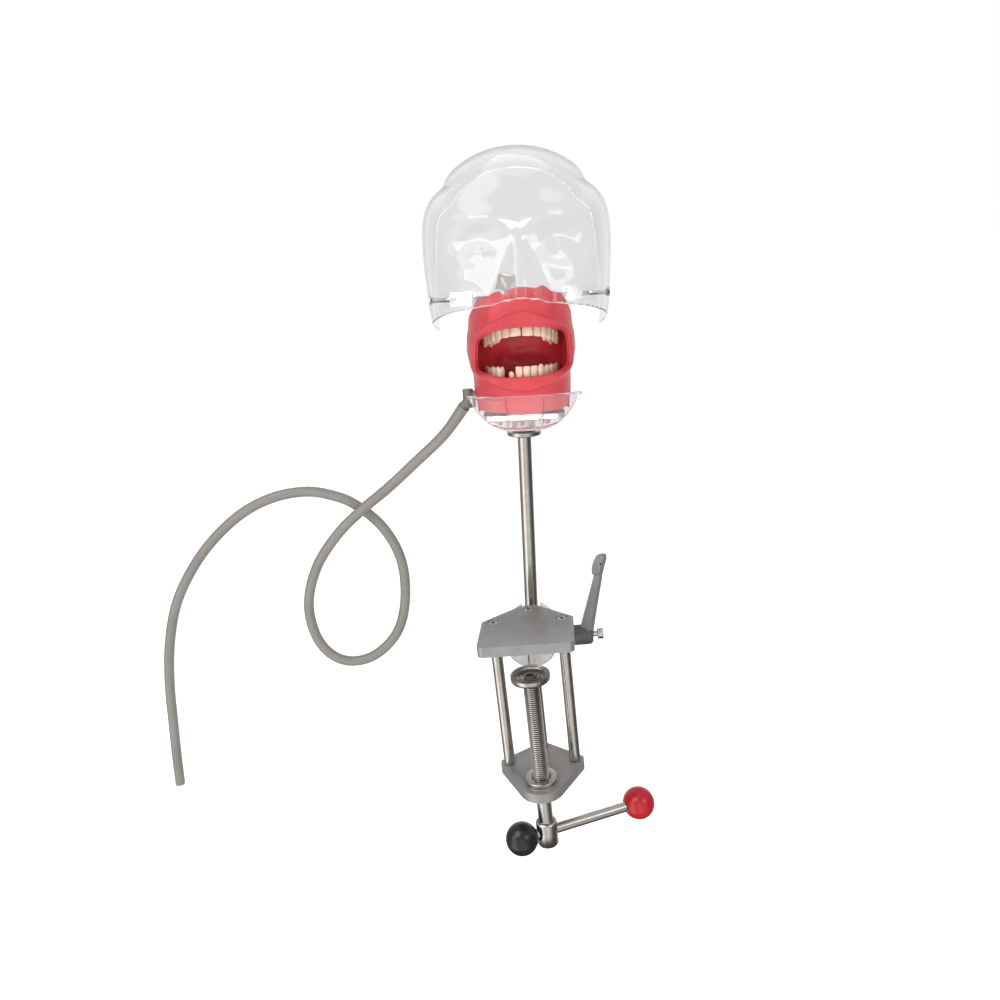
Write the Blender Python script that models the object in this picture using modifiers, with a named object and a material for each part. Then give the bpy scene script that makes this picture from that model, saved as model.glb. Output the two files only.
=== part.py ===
"""Dental phantom head on a bench clamp: a lamp-style screw clamp, a mast held by a
ball joint, and a hinged jaw unit with teeth, mouth mask, clear face shell and drain hose.

Lengths are written in millimetres and scaled by MM.  The row frame has +Z up, +X to the
right and -Y towards the person who works on the teeth.  Its origin is where the clamp
screw's axis meets the underside of the upper clamp plate, which rests on the table.
The mast and everything above it is drawn in the mast's own frame: origin at the centre
of the ball joint, +Z along the mast.
"""
import math

import bmesh
import bpy
from mathutils import Matrix, Vector

MM = 0.001
GAP = 0.3                 # clearance between pieces that touch

# Clamp plates and columns
PLATE_T = 9.0
PLATE_HALF_W = 40.0
PLATE_FRONT_Y = -20.0
TABLE_EDGE_Y = 22.5       # the table top reaches this far under the upper plate
RELIEF = 0.2              # the underside steps back by this much behind that line
COLUMN_X = 30.0
COLUMN_Y = 29.0
BACK_COLUMN_Y = 52.0
COLUMN_R = 5.0
PLATE_DISTANCE = 132.0    # underside of the upper plate to the top of the lower plate
LOWER_TOP = -PLATE_DISTANCE
LOWER_BOTTOM = LOWER_TOP - PLATE_T
NOSE_R = 20.5
SCREW_R = 2.5
SCREW_HOLE_R = 2.8
HEAD_R = 4.25
HEAD_H = 5.0
COUNTERBORE_R = 4.6
COUNTERBORE_DEPTH = 5.6

# Clamp screw, its bush, pressure disc and sliding bar
SPINDLE_R = 7.0
SHANK_R = 6.7
BUSH_BORE_R = 7.4
BUSH_FLANGE_R = 14.1
BUSH_BODY_R = 10.4
DISC_R = 17.0
DISC_TOP = -27.5
DISC_T = 5.0
HUB_R = 9.5
HUB_TOP = -173.5
HUB_BOTTOM = -197.0
BAR_Z = -185.0
BAR_R = 4.5
BAR_TURN = math.radians(21.4)
BLACK_KNOB_AT = -24.0
RED_KNOB_AT = 91.0
KNOB_R = 14.6

# Split block with the ball socket, and its clamping lever
BALL_CENTRE = (0.0, 75.0, -22.8)
BALL_R = 13.5
SOCKET_R = 13.9
BLOCK_R = 22.5
BLOCK_FRONT = 44.0
BLOCK_BACK = 93.0
SLIT_X = -3.6
SLIT_HALF = 0.5
LEVER_Y = 57.0
LEVER_Z = -22.0
STUD_R = 4.0

# Mast and head, in the mast's frame
LEAN = math.radians(3.4)
HEAD_TURN = math.radians(4.0)
MAST_R = 6.0
MAST_TOP = 186.0
JOURNAL_R = 4.7
FLANGE_R = 15.0
FLANGE_T = 4.0
BASE_Z = 208.5
BASE_T = 4.0
BASE_HALF_W = 33.0
BASE_FRONT = -52.0
BASE_BACK = 36.0
HINGE_Y = 25.0
HINGE_Z = 268.0
JAW_OPEN = math.radians(14.0)
PIN_R = 3.0
ARCH_HALF_W = 25.0
ARCH_DEPTH = 40.0
ARCH_BACK_Y = -17.0
LOWER_BITE_Z = 251.6
UPPER_BITE_Z = 252.5
TOOTH_H = 9.5
UPPER_PLATE_Z = 285.5
UPPER_PLATE_T = 3.5
UPPER_PLATE_HALF_W = 36.3
HOSE_R = 4.75

COLOURS = {
    "cast_aluminium": ((0.52, 0.52, 0.53), 0.38, 0.9),
    "stainless": ((0.62, 0.60, 0.57), 0.22, 1.0),
    "lever_grey": ((0.24, 0.24, 0.25), 0.45, 0.6),
    "brass": ((0.78, 0.58, 0.28), 0.28, 1.0),
    "black_plastic": ((0.02, 0.02, 0.022), 0.25, 0.0),
    "red_plastic": ((0.68, 0.02, 0.03), 0.22, 0.0),
    "mask_red": ((0.78, 0.09, 0.10), 0.42, 0.0),
    "gum_red": ((0.70, 0.07, 0.08), 0.38, 0.0),
    "tooth": ((0.90, 0.80, 0.62), 0.25, 0.0),
    "clear": ((0.86, 0.88, 0.90), 0.08, 0.0),
    "hose_grey": ((0.34, 0.32, 0.30), 0.40, 0.0),
}


def clear_scene():
    for obj in list(bpy.data.objects):
        bpy.data.objects.remove(obj, do_unlink=True)


def collection(name):
    made = bpy.data.collections.new(name)
    bpy.context.scene.collection.children.link(made)
    return made


def material(look):
    found = bpy.data.materials.get(look)
    if found:
        return found
    colour, roughness, metallic = COLOURS[look]
    made = bpy.data.materials.new(look)
    made.use_nodes = True
    shader = made.node_tree.nodes["Principled BSDF"]
    shader.inputs["Base Color"].default_value = (*colour, 1.0)
    shader.inputs["Roughness"].default_value = roughness
    shader.inputs["Metallic"].default_value = metallic
    return made


def at(x, y, z, turn=None):
    """A placement in millimetres, with an optional rotation matrix."""
    place = Matrix.Translation(Vector((x, y, z)) * MM)
    return place @ turn.to_4x4() if turn else place


ALONG_X = Matrix.Rotation(math.radians(90), 3, "Y")     # +Z of the shape to +X
ALONG_Y = Matrix.Rotation(math.radians(-90), 3, "X")    # +Z of the shape to +Y
UPSIDE_DOWN = Matrix.Rotation(math.radians(180), 3, "X")


def add_part(name, mesh, look, parent=None, place=None):
    obj = bpy.data.objects.new(name, mesh)
    PARTS.objects.link(obj)
    mesh.materials.clear()
    mesh.materials.append(material(look))
    obj.parent = parent
    if place:
        obj.matrix_basis = place
    mesh.shade_smooth()
    mesh.set_sharp_from_angle(angle=math.radians(35))
    return obj


def empty(name, parent, place):
    obj = bpy.data.objects.new(name, None)
    PARTS.objects.link(obj)
    obj.parent = parent
    obj.matrix_basis = place
    return obj


def as_mesh(obj):
    """The evaluated shape of an object as a welded mesh; the object is removed."""
    bpy.context.view_layer.update()
    evaluated = obj.evaluated_get(bpy.context.evaluated_depsgraph_get())
    mesh = bpy.data.meshes.new_from_object(evaluated)
    bpy.data.objects.remove(obj, do_unlink=True)
    work = bmesh.new()
    work.from_mesh(mesh)
    bmesh.ops.remove_doubles(work, verts=work.verts, dist=0.00001)
    bmesh.ops.recalc_face_normals(work, faces=work.faces)
    work.to_mesh(mesh)
    work.free()
    return mesh


def turned_mesh(profile, segments, closed=False):
    """A profile of (radius, height) in mm, turned about Z with a Screw modifier."""
    mesh = bpy.data.meshes.new("profile")
    points = [(r * MM, 0.0, z * MM) for r, z in profile]
    edges = [(i, i + 1) for i in range(len(points) - 1)]
    if closed:
        edges.append((len(points) - 1, 0))
    mesh.from_pydata(points, edges, [])
    obj = bpy.data.objects.new("profile", mesh)
    PARTS.objects.link(obj)
    screw = obj.modifiers.new("turn", "SCREW")
    screw.axis = "Z"
    screw.steps = segments
    screw.render_steps = segments
    screw.use_merge_vertices = True
    screw.merge_threshold = 0.00001
    return as_mesh(obj)


def turned(name, profile, look, parent=None, place=None, segments=32, closed=False):
    return add_part(name, turned_mesh(profile, segments, closed), look, parent, place)


def arc(cx, cy, radius, start, end, steps):
    """Points of an arc in the plane, angles in degrees."""
    return [
        (cx + radius * math.cos(math.radians(start + (end - start) * i / steps)),
         cy + radius * math.sin(math.radians(start + (end - start) * i / steps)))
        for i in range(steps + 1)
    ]


def hull(circles, steps=16):
    """The outline of a band stretched round circles (x, y, radius)."""
    points = []
    for x, y, radius in circles:
        points += arc(x, y, radius, 0, 360, steps)[:-1]
    points = sorted(set((round(x, 5), round(y, 5)) for x, y in points))
    outline = []
    for sequence in (points, points[::-1]):
        side = []
        for point in sequence:
            while len(side) > 1 and turn_of(side[-2], side[-1], point) <= 0:
                side.pop()
            side.append(point)
        outline += side[:-1]
    return outline


def turn_of(a, b, c):
    return (b[0] - a[0]) * (c[1] - a[1]) - (b[1] - a[1]) * (c[0] - a[0])


def plate_mesh(outlines, bottom, top, edge=0.0):
    """A flat outline with holes, filled and extruded between two heights."""
    curve = bpy.data.curves.new("outline", "CURVE")
    curve.dimensions = "2D"
    curve.fill_mode = "BOTH"
    curve.extrude = (top - bottom) / 2 * MM - edge * MM
    curve.bevel_depth = edge * MM
    curve.bevel_resolution = 0
    curve.offset = -edge * MM
    for outline in outlines:
        spline = curve.splines.new("POLY")
        spline.points.add(len(outline) - 1)
        for point, (x, y) in zip(spline.points, outline):
            point.co = (x * MM, y * MM, 0.0, 1.0)
        spline.use_cyclic_u = True
    obj = bpy.data.objects.new("outline", curve)
    PARTS.objects.link(obj)
    mesh = as_mesh(obj)
    mesh.transform(Matrix.Translation((0, 0, (top + bottom) / 2 * MM)))
    return mesh


def circle(x, y, radius, steps=18):
    return arc(x, y, radius, 0, 360, steps)[:-1]


def cutter(name, mesh, parent=None, place=None):
    obj = bpy.data.objects.new(name, mesh)
    CUTTERS.objects.link(obj)
    obj.parent = parent
    if place:
        obj.matrix_basis = place
    obj.hide_render = True
    obj.display_type = "WIRE"
    return obj


def round_tool(radius, bottom, top, segments=20):
    """A closed cylinder about Z between two heights."""
    return turned_mesh([(0, top), (radius, top), (radius, bottom), (0, bottom)], segments)


def box_mesh(low, high):
    work = bmesh.new()
    bmesh.ops.create_cube(work, size=1.0)
    size = Vector(high) - Vector(low)
    middle = (Vector(high) + Vector(low)) / 2
    for vert in work.verts:
        vert.co = Vector([vert.co[i] * size[i] + middle[i] for i in range(3)]) * MM
    mesh = bpy.data.meshes.new("box")
    work.to_mesh(mesh)
    work.free()
    return mesh


def boolean(target, tool, operation="DIFFERENCE"):
    modifier = target.modifiers.new(tool.name, "BOOLEAN")
    modifier.operation = operation
    modifier.solver = "EXACT"
    modifier.object = tool


def tube(name, points, radius, look, parent=None, resolution=2):
    """A round tube along points in mm, with filled ends."""
    curve = bpy.data.curves.new(name, "CURVE")
    curve.dimensions = "3D"
    curve.bevel_depth = radius * MM
    curve.bevel_resolution = resolution
    curve.use_fill_caps = True
    spline = curve.splines.new("POLY")
    spline.points.add(len(points) - 1)
    for point, position in zip(spline.points, points):
        point.co = (*(Vector(position) * MM), 1.0)
    obj = bpy.data.objects.new(name, curve)
    PARTS.objects.link(obj)
    return add_part(name, as_mesh(obj), look, parent)


def smooth_path(route, count):
    """Points at equal steps along a smooth curve through a route's points."""
    points = [Vector(p) for p in route]
    ends = [2 * points[0] - points[1]] + points + [2 * points[-1] - points[-2]]
    fine = []
    for a, b, c, d in zip(ends, ends[1:], ends[2:], ends[3:]):
        for step in range(20):
            t = step / 20
            fine.append(0.5 * (2 * b + (c - a) * t + (2 * a - 5 * b + 4 * c - d) * t ** 2
                               + (3 * b - a - 3 * c + d) * t ** 3))
    fine.append(points[-1])
    lengths = [0.0]
    for a, b in zip(fine, fine[1:]):
        lengths.append(lengths[-1] + (b - a).length)
    result = []
    place = 0
    for step in range(count):
        want = lengths[-1] * step / (count - 1)
        while place < len(fine) - 2 and lengths[place + 1] < want:
            place += 1
        span = lengths[place + 1] - lengths[place]
        result.append(fine[place].lerp(fine[place + 1], (want - lengths[place]) / span))
    return result


def cap_screw(name, length, look, parent, place):
    """A socket-head cap screw: head top at z = 0, shank downwards."""
    profile = [
        (0, 0), (HEAD_R - 0.4, 0), (HEAD_R, -0.4), (HEAD_R, -HEAD_H),
        (SCREW_R, -HEAD_H), (SCREW_R, -length), (0, -length),
    ]
    screw = turned(name, profile, look, parent, place, segments=16)
    socket = turned_mesh([(0, 1), (2.3, 1), (2.3, -2.6), (0, -2.6)], 6)
    boolean(screw, cutter(name + "_socket", socket, parent, place))
    return screw


# ---------------------------------------------------------------- clamp frame

def screw_places():
    return {
        "left": (-COLUMN_X, COLUMN_Y),
        "right": (COLUMN_X, COLUMN_Y),
        "back": (0.0, BACK_COLUMN_Y),
    }


def counterbore():
    """Cutter for a cap screw's hole, from a plate's outer face (z = 0) down through it."""
    profile = [(0, 2), (COUNTERBORE_R, 2), (COUNTERBORE_R, -COUNTERBORE_DEPTH),
               (SCREW_HOLE_R, -COUNTERBORE_DEPTH), (SCREW_HOLE_R, -PLATE_T - 2),
               (0, -PLATE_T - 2)]
    return turned_mesh(profile, 20)


def upper_plate():
    corners = []
    for side in (-1, 1):
        corners += [(side * (PLATE_HALF_W - 5), PLATE_FRONT_Y + 5, 5.0),
                    (side * (PLATE_HALF_W - 1.5), COLUMN_Y + 0.5, 1.5),
                    (side * 6.5, 58.5, 1.5)]
    mesh = plate_mesh([hull(corners)], 0.0, PLATE_T, edge=0.5)
    plate = add_part("upper_plate", mesh, "cast_aluminium")
    relief = box_mesh((-50, TABLE_EDGE_Y, -5), (50, 80, RELIEF))
    boolean(plate, cutter("seat_relief", relief))
    for side, (x, y) in screw_places().items():
        boolean(plate, cutter("upper_bore_" + side, counterbore(), None, at(x, y, PLATE_T)))


def lower_plate():
    corners = [(0, 0, NOSE_R), (0, 55.8, 3.5)]
    for side in (-1, 1):
        corners += [(side * 34.8, 27.0, 3.2), (side * 35.5, 31.5, 2.5)]
    mesh = plate_mesh([hull(corners, 28)], LOWER_BOTTOM, LOWER_TOP, edge=0.5)
    plate = add_part("lower_plate", mesh, "cast_aluminium")
    seat = round_tool(BUSH_BODY_R + GAP, LOWER_BOTTOM - 2, LOWER_TOP + 2, 28)
    boolean(plate, cutter("bush_seat", seat))
    for side, (x, y) in screw_places().items():
        place = at(x, y, LOWER_BOTTOM, UPSIDE_DOWN)
        boolean(plate, cutter("lower_bore_" + side, counterbore(), None, place))


def columns():
    low = LOWER_TOP + GAP
    tapped = 14.0
    foot = [(COLUMN_R, low + 0.4), (COLUMN_R - 0.4, low), (SCREW_HOLE_R, low),
            (SCREW_HOLE_R, low + tapped), (0, low + tapped)]
    high = -GAP
    front = [(0, high - tapped), (SCREW_HOLE_R, high - tapped), (SCREW_HOLE_R, high),
             (COLUMN_R - 0.4, high), (COLUMN_R, high - 0.4)] + foot
    for side in ("left", "right"):
        x, y = screw_places()[side]
        turned("column_" + side, front, "stainless", place=at(x, y, 0), segments=20)
    shoulder = BALL_CENTRE[2] - BLOCK_R - GAP
    stud_top = shoulder + 13
    back = [(0, stud_top), (SCREW_R, stud_top), (SCREW_R, shoulder),
            (COLUMN_R - 0.4, shoulder), (COLUMN_R, shoulder - 0.4)] + foot
    turned("column_back", back, "stainless", place=at(0, BACK_COLUMN_Y, 0), segments=20)


def plate_screws():
    top = PLATE_T - 0.4
    foot = LOWER_BOTTOM + 0.4
    for side, (x, y) in screw_places().items():
        cap_screw("plate_screw_" + side, 18, "stainless", None, at(x, y, top))
        cap_screw("base_screw_" + side, 16, "stainless", None, at(x, y, foot, UPSIDE_DOWN))


def spindle_bush():
    top = LOWER_TOP + GAP + 4
    profile = [
        (BUSH_FLANGE_R - 0.5, top), (BUSH_FLANGE_R, top - 0.5),
        (BUSH_FLANGE_R, LOWER_TOP + GAP), (BUSH_BODY_R, LOWER_TOP + GAP),
        (BUSH_BODY_R, LOWER_BOTTOM), (BUSH_BORE_R, LOWER_BOTTOM),
        (BUSH_BORE_R, top - 1.6), (BUSH_BORE_R + 1.5, top),
    ]
    turned("spindle_bush", profile, "stainless", closed=True, segments=28)


# --------------------------------------------------------- block, socket, lever

def block_half(name, side):
    """One half of the split block: side +1 is bolted to the plate, -1 is the jaw."""
    centre_y = (BLOCK_FRONT + BLOCK_BACK) / 2
    half_length = (BLOCK_BACK - BLOCK_FRONT) / 2
    profile = [
        (0, half_length), (BLOCK_R - 1, half_length), (BLOCK_R, half_length - 1),
        (BLOCK_R, 1 - half_length), (BLOCK_R - 1, -half_length), (0, -half_length),
    ]
    place = at(0, centre_y, BALL_CENTRE[2], ALONG_Y)
    block = turned(name, profile, "cast_aluminium", place=place, segments=40)
    slit = SLIT_X + side * SLIT_HALF
    if side > 0:
        away = box_mesh((-40, 30, -60), (slit, 110, 20))
    else:
        away = box_mesh((slit, 30, -60), (40, 110, 20))
    boolean(block, cutter(name + "_split", away))
    ball = bpy.data.meshes.new("socket")
    work = bmesh.new()
    bmesh.ops.create_uvsphere(work, u_segments=20, v_segments=10, radius=SOCKET_R * MM)
    work.to_mesh(ball)
    work.free()
    boolean(block, cutter(name + "_socket", ball, None, at(*BALL_CENTRE)))
    boolean(block, cutter(name + "_notch", notch_mesh(63.5, BALL_CENTRE[2] + 8)))
    boolean(block, cutter(name + "_back_slot", notch_mesh(75.0, BALL_CENTRE[2] - 5)))
    stud = round_tool(STUD_R + GAP, -60, 60)
    boolean(block, cutter(name + "_stud_hole", stud, None, at(0, LEVER_Y, LEVER_Z, ALONG_X)))
    return block


def notch_mesh(front, floor):
    """The V-shaped slot that the mast tilts back through."""
    low = 7.8
    high = 9.6
    top = 20.0
    outline = [(-low, floor), (low, floor), (low, BALL_CENTRE[2] + 6),
               (high, top), (-high, top), (-low, BALL_CENTRE[2] + 6)]
    mesh = plate_mesh([outline], -BLOCK_BACK - 5, -front)
    mesh.transform(Matrix.Rotation(math.radians(90), 4, "X"))
    return mesh


def ball_block():
    block = block_half("ball_block", 1)
    top_hole = round_tool(SCREW_HOLE_R, BALL_CENTRE[2] + 6, 10)
    boolean(block, cutter("block_top_hole", top_hole, None, at(0, BACK_COLUMN_Y, 0)))
    low_hole = round_tool(SCREW_HOLE_R, -60, BALL_CENTRE[2] - BLOCK_R + 14)
    boolean(block, cutter("block_low_hole", low_hole, None, at(0, BACK_COLUMN_Y, 0)))
    recess = round_tool(9.6, 23.2, 60)
    boolean(block, cutter("block_face", recess, None, at(0, LEVER_Y, LEVER_Z, ALONG_X)))


def lever():
    """Clamping lever: a threaded stud through both halves, a cranked handle and its screw."""
    frame = empty("lever_axis", None, at(0, LEVER_Y, LEVER_Z))
    stud = [(0, 47), (5.5, 47), (5.5, 24), (STUD_R, 24), (STUD_R, -24), (0, -24)]
    shaft = turned("lever_stud", stud, "stainless", frame, at(0, 0, 0, ALONG_X), 24)
    socket = round_tool(SCREW_R + GAP, 34, 50, 20)
    boolean(shaft, cutter("lever_stud_hole", socket, frame, at(0, 0, 0, ALONG_X)))
    hub = [(SCREW_R + 0.4, 56), (7.2, 56), (8.7, 54), (9.1, 49), (9.1, 25.5), (8.6, 25),
           (5.9, 25), (5.9, 47.5), (SCREW_R + 0.4, 47.5)]
    hub_mesh = turned_mesh(hub, 28, closed=True)
    handle = add_part("lever_handle", hub_mesh, "lever_grey", frame, at(0, 0, 0, ALONG_X))
    side = [(44.5, 4.0), (56.0, 4.0), (71.5, 66.0), (73.5, 74.0), (71.5, 76.5),
            (67.5, 76.5), (61.5, 69.0), (61.0, 63.0), (59.5, 61.0)]
    arm_mesh = plate_mesh([side], -5.5, 5.5)
    arm_mesh.transform(Matrix.Rotation(math.radians(90), 4, "X"))
    arm = cutter("lever_arm", arm_mesh, frame)
    bore = round_tool(5.9, 25, 47.5)
    boolean(arm, cutter("lever_arm_clearance", bore, frame, at(0, 0, 0, ALONG_X)))
    boolean(handle, arm, "UNION")
    screw = [(0, 65.2), (4.6, 65.2), (5.0, 64.8), (5.0, 59.9), (SCREW_R, 59.9),
             (SCREW_R, 36), (0, 36)]
    retainer = turned("lever_screw", screw, "stainless", frame, at(0, 0, 0, ALONG_X), 24)
    hexagon = turned_mesh([(0, 67), (2.4, 67), (2.4, 62), (0, 62)], 6)
    boolean(retainer, cutter("lever_screw_socket", hexagon, frame, at(0, 0, 0, ALONG_X)))


# -------------------------------------------------------- clamp screw and its bar

def pressure_disc():
    top = DISC_TOP
    profile = [
        (DISC_R - 0.6, top), (DISC_R, top - 0.6), (DISC_R, top - DISC_T + 0.6),
        (DISC_R - 0.6, top - DISC_T), (3.4, top - DISC_T), (3.4, top - 1.0),
        (4.9, top - 1.0), (5.6, top - 3.0), (14.0, top - 3.0), (15.2, top),
    ]
    turned("pressure_disc", profile, "stainless", closed=True, segments=32)


def spindle():
    top = DISC_TOP - DISC_T - GAP
    body = [
        (0, DISC_TOP - 2.0), (3.0, DISC_TOP - 2.0), (3.0, top), (SPINDLE_R - 0.8, top),
        (SPINDLE_R, top - 0.8), (SPINDLE_R, -143.0), (6.0, -143.6), (6.0, -145.4),
        (SHANK_R, -146.0), (SHANK_R, HUB_TOP + GAP), (4.0, HUB_TOP + GAP),
        (4.0, HUB_TOP - 5.0), (0, HUB_TOP - 5.0),
    ]
    turned("spindle_screw", body, "stainless", segments=24)
    hub = [
        (0, HUB_TOP - 5.3), (4.3, HUB_TOP - 5.3), (4.3, HUB_TOP), (HUB_R - 0.7, HUB_TOP),
        (HUB_R, HUB_TOP - 0.7), (HUB_R, HUB_BOTTOM + 0.7), (HUB_R - 0.7, HUB_BOTTOM),
        (0, HUB_BOTTOM),
    ]
    axle = turned("spindle_hub", hub, "stainless", segments=28)
    along_bar = Matrix.Rotation(BAR_TURN, 3, "Z") @ ALONG_X
    hole = round_tool(BAR_R + GAP, -30, 30)
    boolean(axle, cutter("hub_bar_hole", hole, None, at(0, 0, BAR_Z, along_bar)))


def tommy_bar():
    frame = empty("bar_axis", None,
                  at(0, 0, BAR_Z, Matrix.Rotation(BAR_TURN, 3, "Z") @ ALONG_X))
    tip = 2.0
    low = BLACK_KNOB_AT - tip
    high = RED_KNOB_AT + tip
    flat = 13.3
    profile = [
        (0, high), (2.8, high), (2.8, RED_KNOB_AT - flat - GAP),
        (BAR_R, RED_KNOB_AT - flat - GAP), (BAR_R, BLACK_KNOB_AT + flat + GAP),
        (2.8, BLACK_KNOB_AT + flat + GAP), (2.8, low), (0, low),
    ]
    turned("tommy_bar", profile, "stainless", frame, segments=24)
    for name, centre, look, facing in (("knob_black", BLACK_KNOB_AT, "black_plastic", 1),
                                       ("knob_red", RED_KNOB_AT, "red_plastic", -1)):
        edge = math.degrees(math.asin(flat / KNOB_R))
        ball = arc(0, 0, KNOB_R, edge, -90, 10)
        floor = -tip - GAP
        profile = [(0, floor), (3.1, floor), (3.1, flat)] + ball[:-1] + [(0, -KNOB_R)]
        place = at(0, 0, centre, None if facing > 0 else UPSIDE_DOWN)
        turned(name, profile, look, frame, place, segments=20)


# ------------------------------------------------------------------ mast and ball

def mast():
    frame = empty("mast_axis", None, at(*BALL_CENTRE, Matrix.Rotation(LEAN, 3, "Y")))
    stud_r = 3.7
    collar_z = 12.6
    rod = [
        (0, MAST_TOP + 18), (JOURNAL_R - 0.5, MAST_TOP + 18), (JOURNAL_R, MAST_TOP + 17.5),
        (JOURNAL_R, MAST_TOP), (MAST_R, MAST_TOP), (MAST_R, collar_z), (stud_r, collar_z),
        (stud_r, 2.5), (0, 2.5),
    ]
    turned("mast_rod", rod, "stainless", frame, segments=24)
    flat = collar_z - GAP
    start = math.degrees(math.asin(flat / BALL_R))
    ball = [(0, 2.0), (stud_r + GAP, 2.0), (stud_r + GAP, flat)]
    ball += arc(0, 0, BALL_R, start, -90, 10)[:-1] + [(0, -BALL_R)]
    turned("mast_ball", ball, "stainless", frame, segments=22)
    low = MAST_TOP + GAP
    ring = [(FLANGE_R - 0.5, low + FLANGE_T), (FLANGE_R, low + FLANGE_T - 0.5),
            (FLANGE_R, low + 0.5), (FLANGE_R - 0.5, low), (JOURNAL_R + GAP, low),
            (JOURNAL_R + GAP, low + FLANGE_T)]
    turned("mast_flange", ring, "stainless", frame, segments=28, closed=True)
    return empty("head_axis", frame, at(0, 0, 0, Matrix.Rotation(HEAD_TURN, 3, "Z")))


# ------------------------------------------------------------- lower jaw and base

def base_unit(head):
    low = MAST_TOP + FLANGE_T + 3 * GAP
    high = BASE_Z - GAP
    sleeve = [
        (0, high), (10.5, high), (10.5, low + 0.6), (9.9, low), (JOURNAL_R + GAP, low),
        (JOURNAL_R + GAP, MAST_TOP + 18.4), (0, MAST_TOP + 18.4),
    ]
    collar = turned("swivel_collar", sleeve, "cast_aluminium", head, segments=28)
    pin_z = low + 7
    side_hole = round_tool(2.3, JOURNAL_R - 1, 14, 16)
    boolean(collar, cutter("collar_screw_hole", side_hole, head, at(0, 0, pin_z, ALONG_Y)))
    screw = [(0, 15), (3.6, 15), (4, 14.6), (4, 11), (2, 11), (2, 5.5), (0, 5.5)]
    turned("collar_set_screw", screw, "stainless", head, at(0, 0, pin_z, ALONG_Y), 20)

    corners = [(side * (BASE_HALF_W - r), y, r) for side in (-1, 1)
               for y, r in ((BASE_FRONT + 8, 8.0), (BASE_BACK - 3, 3.0))]
    holes = [circle(x, y, 2.3, 16) for x, y in base_screw_places()]
    mesh = plate_mesh([hull(corners)] + holes, BASE_Z, BASE_Z + BASE_T, edge=0.4)
    add_part("base_plate", mesh, "cast_aluminium", head)
    for number, (x, y) in enumerate(base_screw_places(), 1):
        profile = [(0, 3.6), (2.0, 3.6), (2.0, -2.5), (3.9, -2.5), (3.9, -4.9), (3.0, -6.1),
                   (0, -6.1)]
        turned("guard_screw_%d" % number, profile, "brass", head, at(x, y, BASE_Z), 16)


def base_screw_places():
    return [(-22.0, -44.0), (-4.0, -46.0), (17.0, -44.0)]


GUARD_STEPS = 20
GUARD_HALF_W = 46.0
GUARD_BACK = -38.0
GUARD_TOP = 231.0
GUARD_FLOOR = 203.0
GUARD_LEDGE = 207.2


def guard_wall(t, down):
    """A point of the chin guard's wall: t from -1 to 1 across, down from 0 to 1."""
    angle = t * math.pi / 2
    bottom = GUARD_FLOOR + 23.0 * abs(t) ** 2.4
    top = GUARD_TOP - 3.0 * abs(t) ** 2
    height = top + (bottom - top) * down
    lean = 8.0 * (GUARD_TOP - height) / (GUARD_TOP - GUARD_FLOOR)
    x = (GUARD_HALF_W - 0.4 * lean) * math.copysign(abs(math.sin(angle)) ** 0.8, t)
    y = GUARD_BACK - (38.0 - lean) * math.cos(angle) ** 0.8
    return Vector((x, y, height))


def chin_guard(head):
    """Clear splash guard under the chin: a curved wall with a floor under the plate."""
    rows = 5
    work = bmesh.new()
    grid = []
    for i in range(GUARD_STEPS + 1):
        t = (i / GUARD_STEPS * 2 - 1) * 0.985
        column = [work.verts.new(guard_wall(t, j / rows) * MM) for j in range(rows + 1)]
        edge = guard_wall(t, 1.0)
        if abs(t) < 0.45:
            for inward, rise in ((0.3, 0.5), (0.6, 1.0), (1.05, 1.0)):
                y = edge.y + (GUARD_BACK - edge.y) * inward
                z = edge.z + (GUARD_LEDGE - edge.z) * rise
                column.append(work.verts.new(Vector((edge.x, y, z)) * MM))
        grid.append(column)
    for left, right in zip(grid, grid[1:]):
        for j in range(min(len(left), len(right)) - 1):
            work.faces.new((left[j], left[j + 1], right[j + 1], right[j]))
    mesh = bpy.data.meshes.new("chin_guard")
    work.to_mesh(mesh)
    work.free()
    guard = add_part("chin_guard", mesh, "clear", head)
    wall = guard.modifiers.new("wall", "SOLIDIFY")
    wall.thickness = 1.6 * MM
    wall.offset = 0.0
    wall.use_even_offset = True
    for number, (x, y) in enumerate(base_screw_places(), 1):
        hole = round_tool(2.4, 190, 215, 16)
        boolean(guard, cutter("guard_hole_%d" % number, hole, head, at(x, y, 0)))
    for side in (-1, 1):
        slot = box_mesh((side * 15.3 - 1.6, -80, 195), (side * 15.3 + 1.6, -60, 208))
        boolean(guard, cutter("guard_slot_%d" % (side + 2), slot, head))


def arch_point(t, offset=0.0):
    """A point on the dental arch: t from -1 (left end) to 1, offset outwards."""
    angle = t * math.pi / 2
    x = ARCH_HALF_W * math.sin(angle)
    y = ARCH_BACK_Y - ARCH_DEPTH * math.cos(angle)
    normal = Vector((math.sin(angle) / ARCH_HALF_W, -math.cos(angle) / ARCH_DEPTH))
    normal.normalize()
    return (x + normal.x * offset, y + normal.y * offset)


def horseshoe(outward, inward, start=-1.0, end=1.0, steps=26, wave=0.0, teeth=7):
    """A band along the arch, with an optional scallop for each tooth."""
    outer = []
    inner = []
    for i in range(steps + 1):
        t = start + (end - start) * i / steps
        scallop = wave * abs(math.sin(t * teeth * math.pi))
        outer.append(arch_point(t, outward + scallop))
        inner.append(arch_point(t, -inward - scallop))
    return outer + inner[::-1]


def gum(name, bottom, top, parent, place=None):
    mesh = plate_mesh([horseshoe(7.0, 8.0)], bottom, top, edge=1.2)
    return add_part(name, mesh, "gum_red", parent, place)


def teeth(name, start, end, bottom, top, parent):
    steps = max(8, round(35 * (end - start)))
    outline = horseshoe(3.6, 3.6, start, end, steps, 0.9, 7)
    mesh = plate_mesh([outline], bottom, top)
    return add_part(name, mesh, "tooth", parent)


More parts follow.
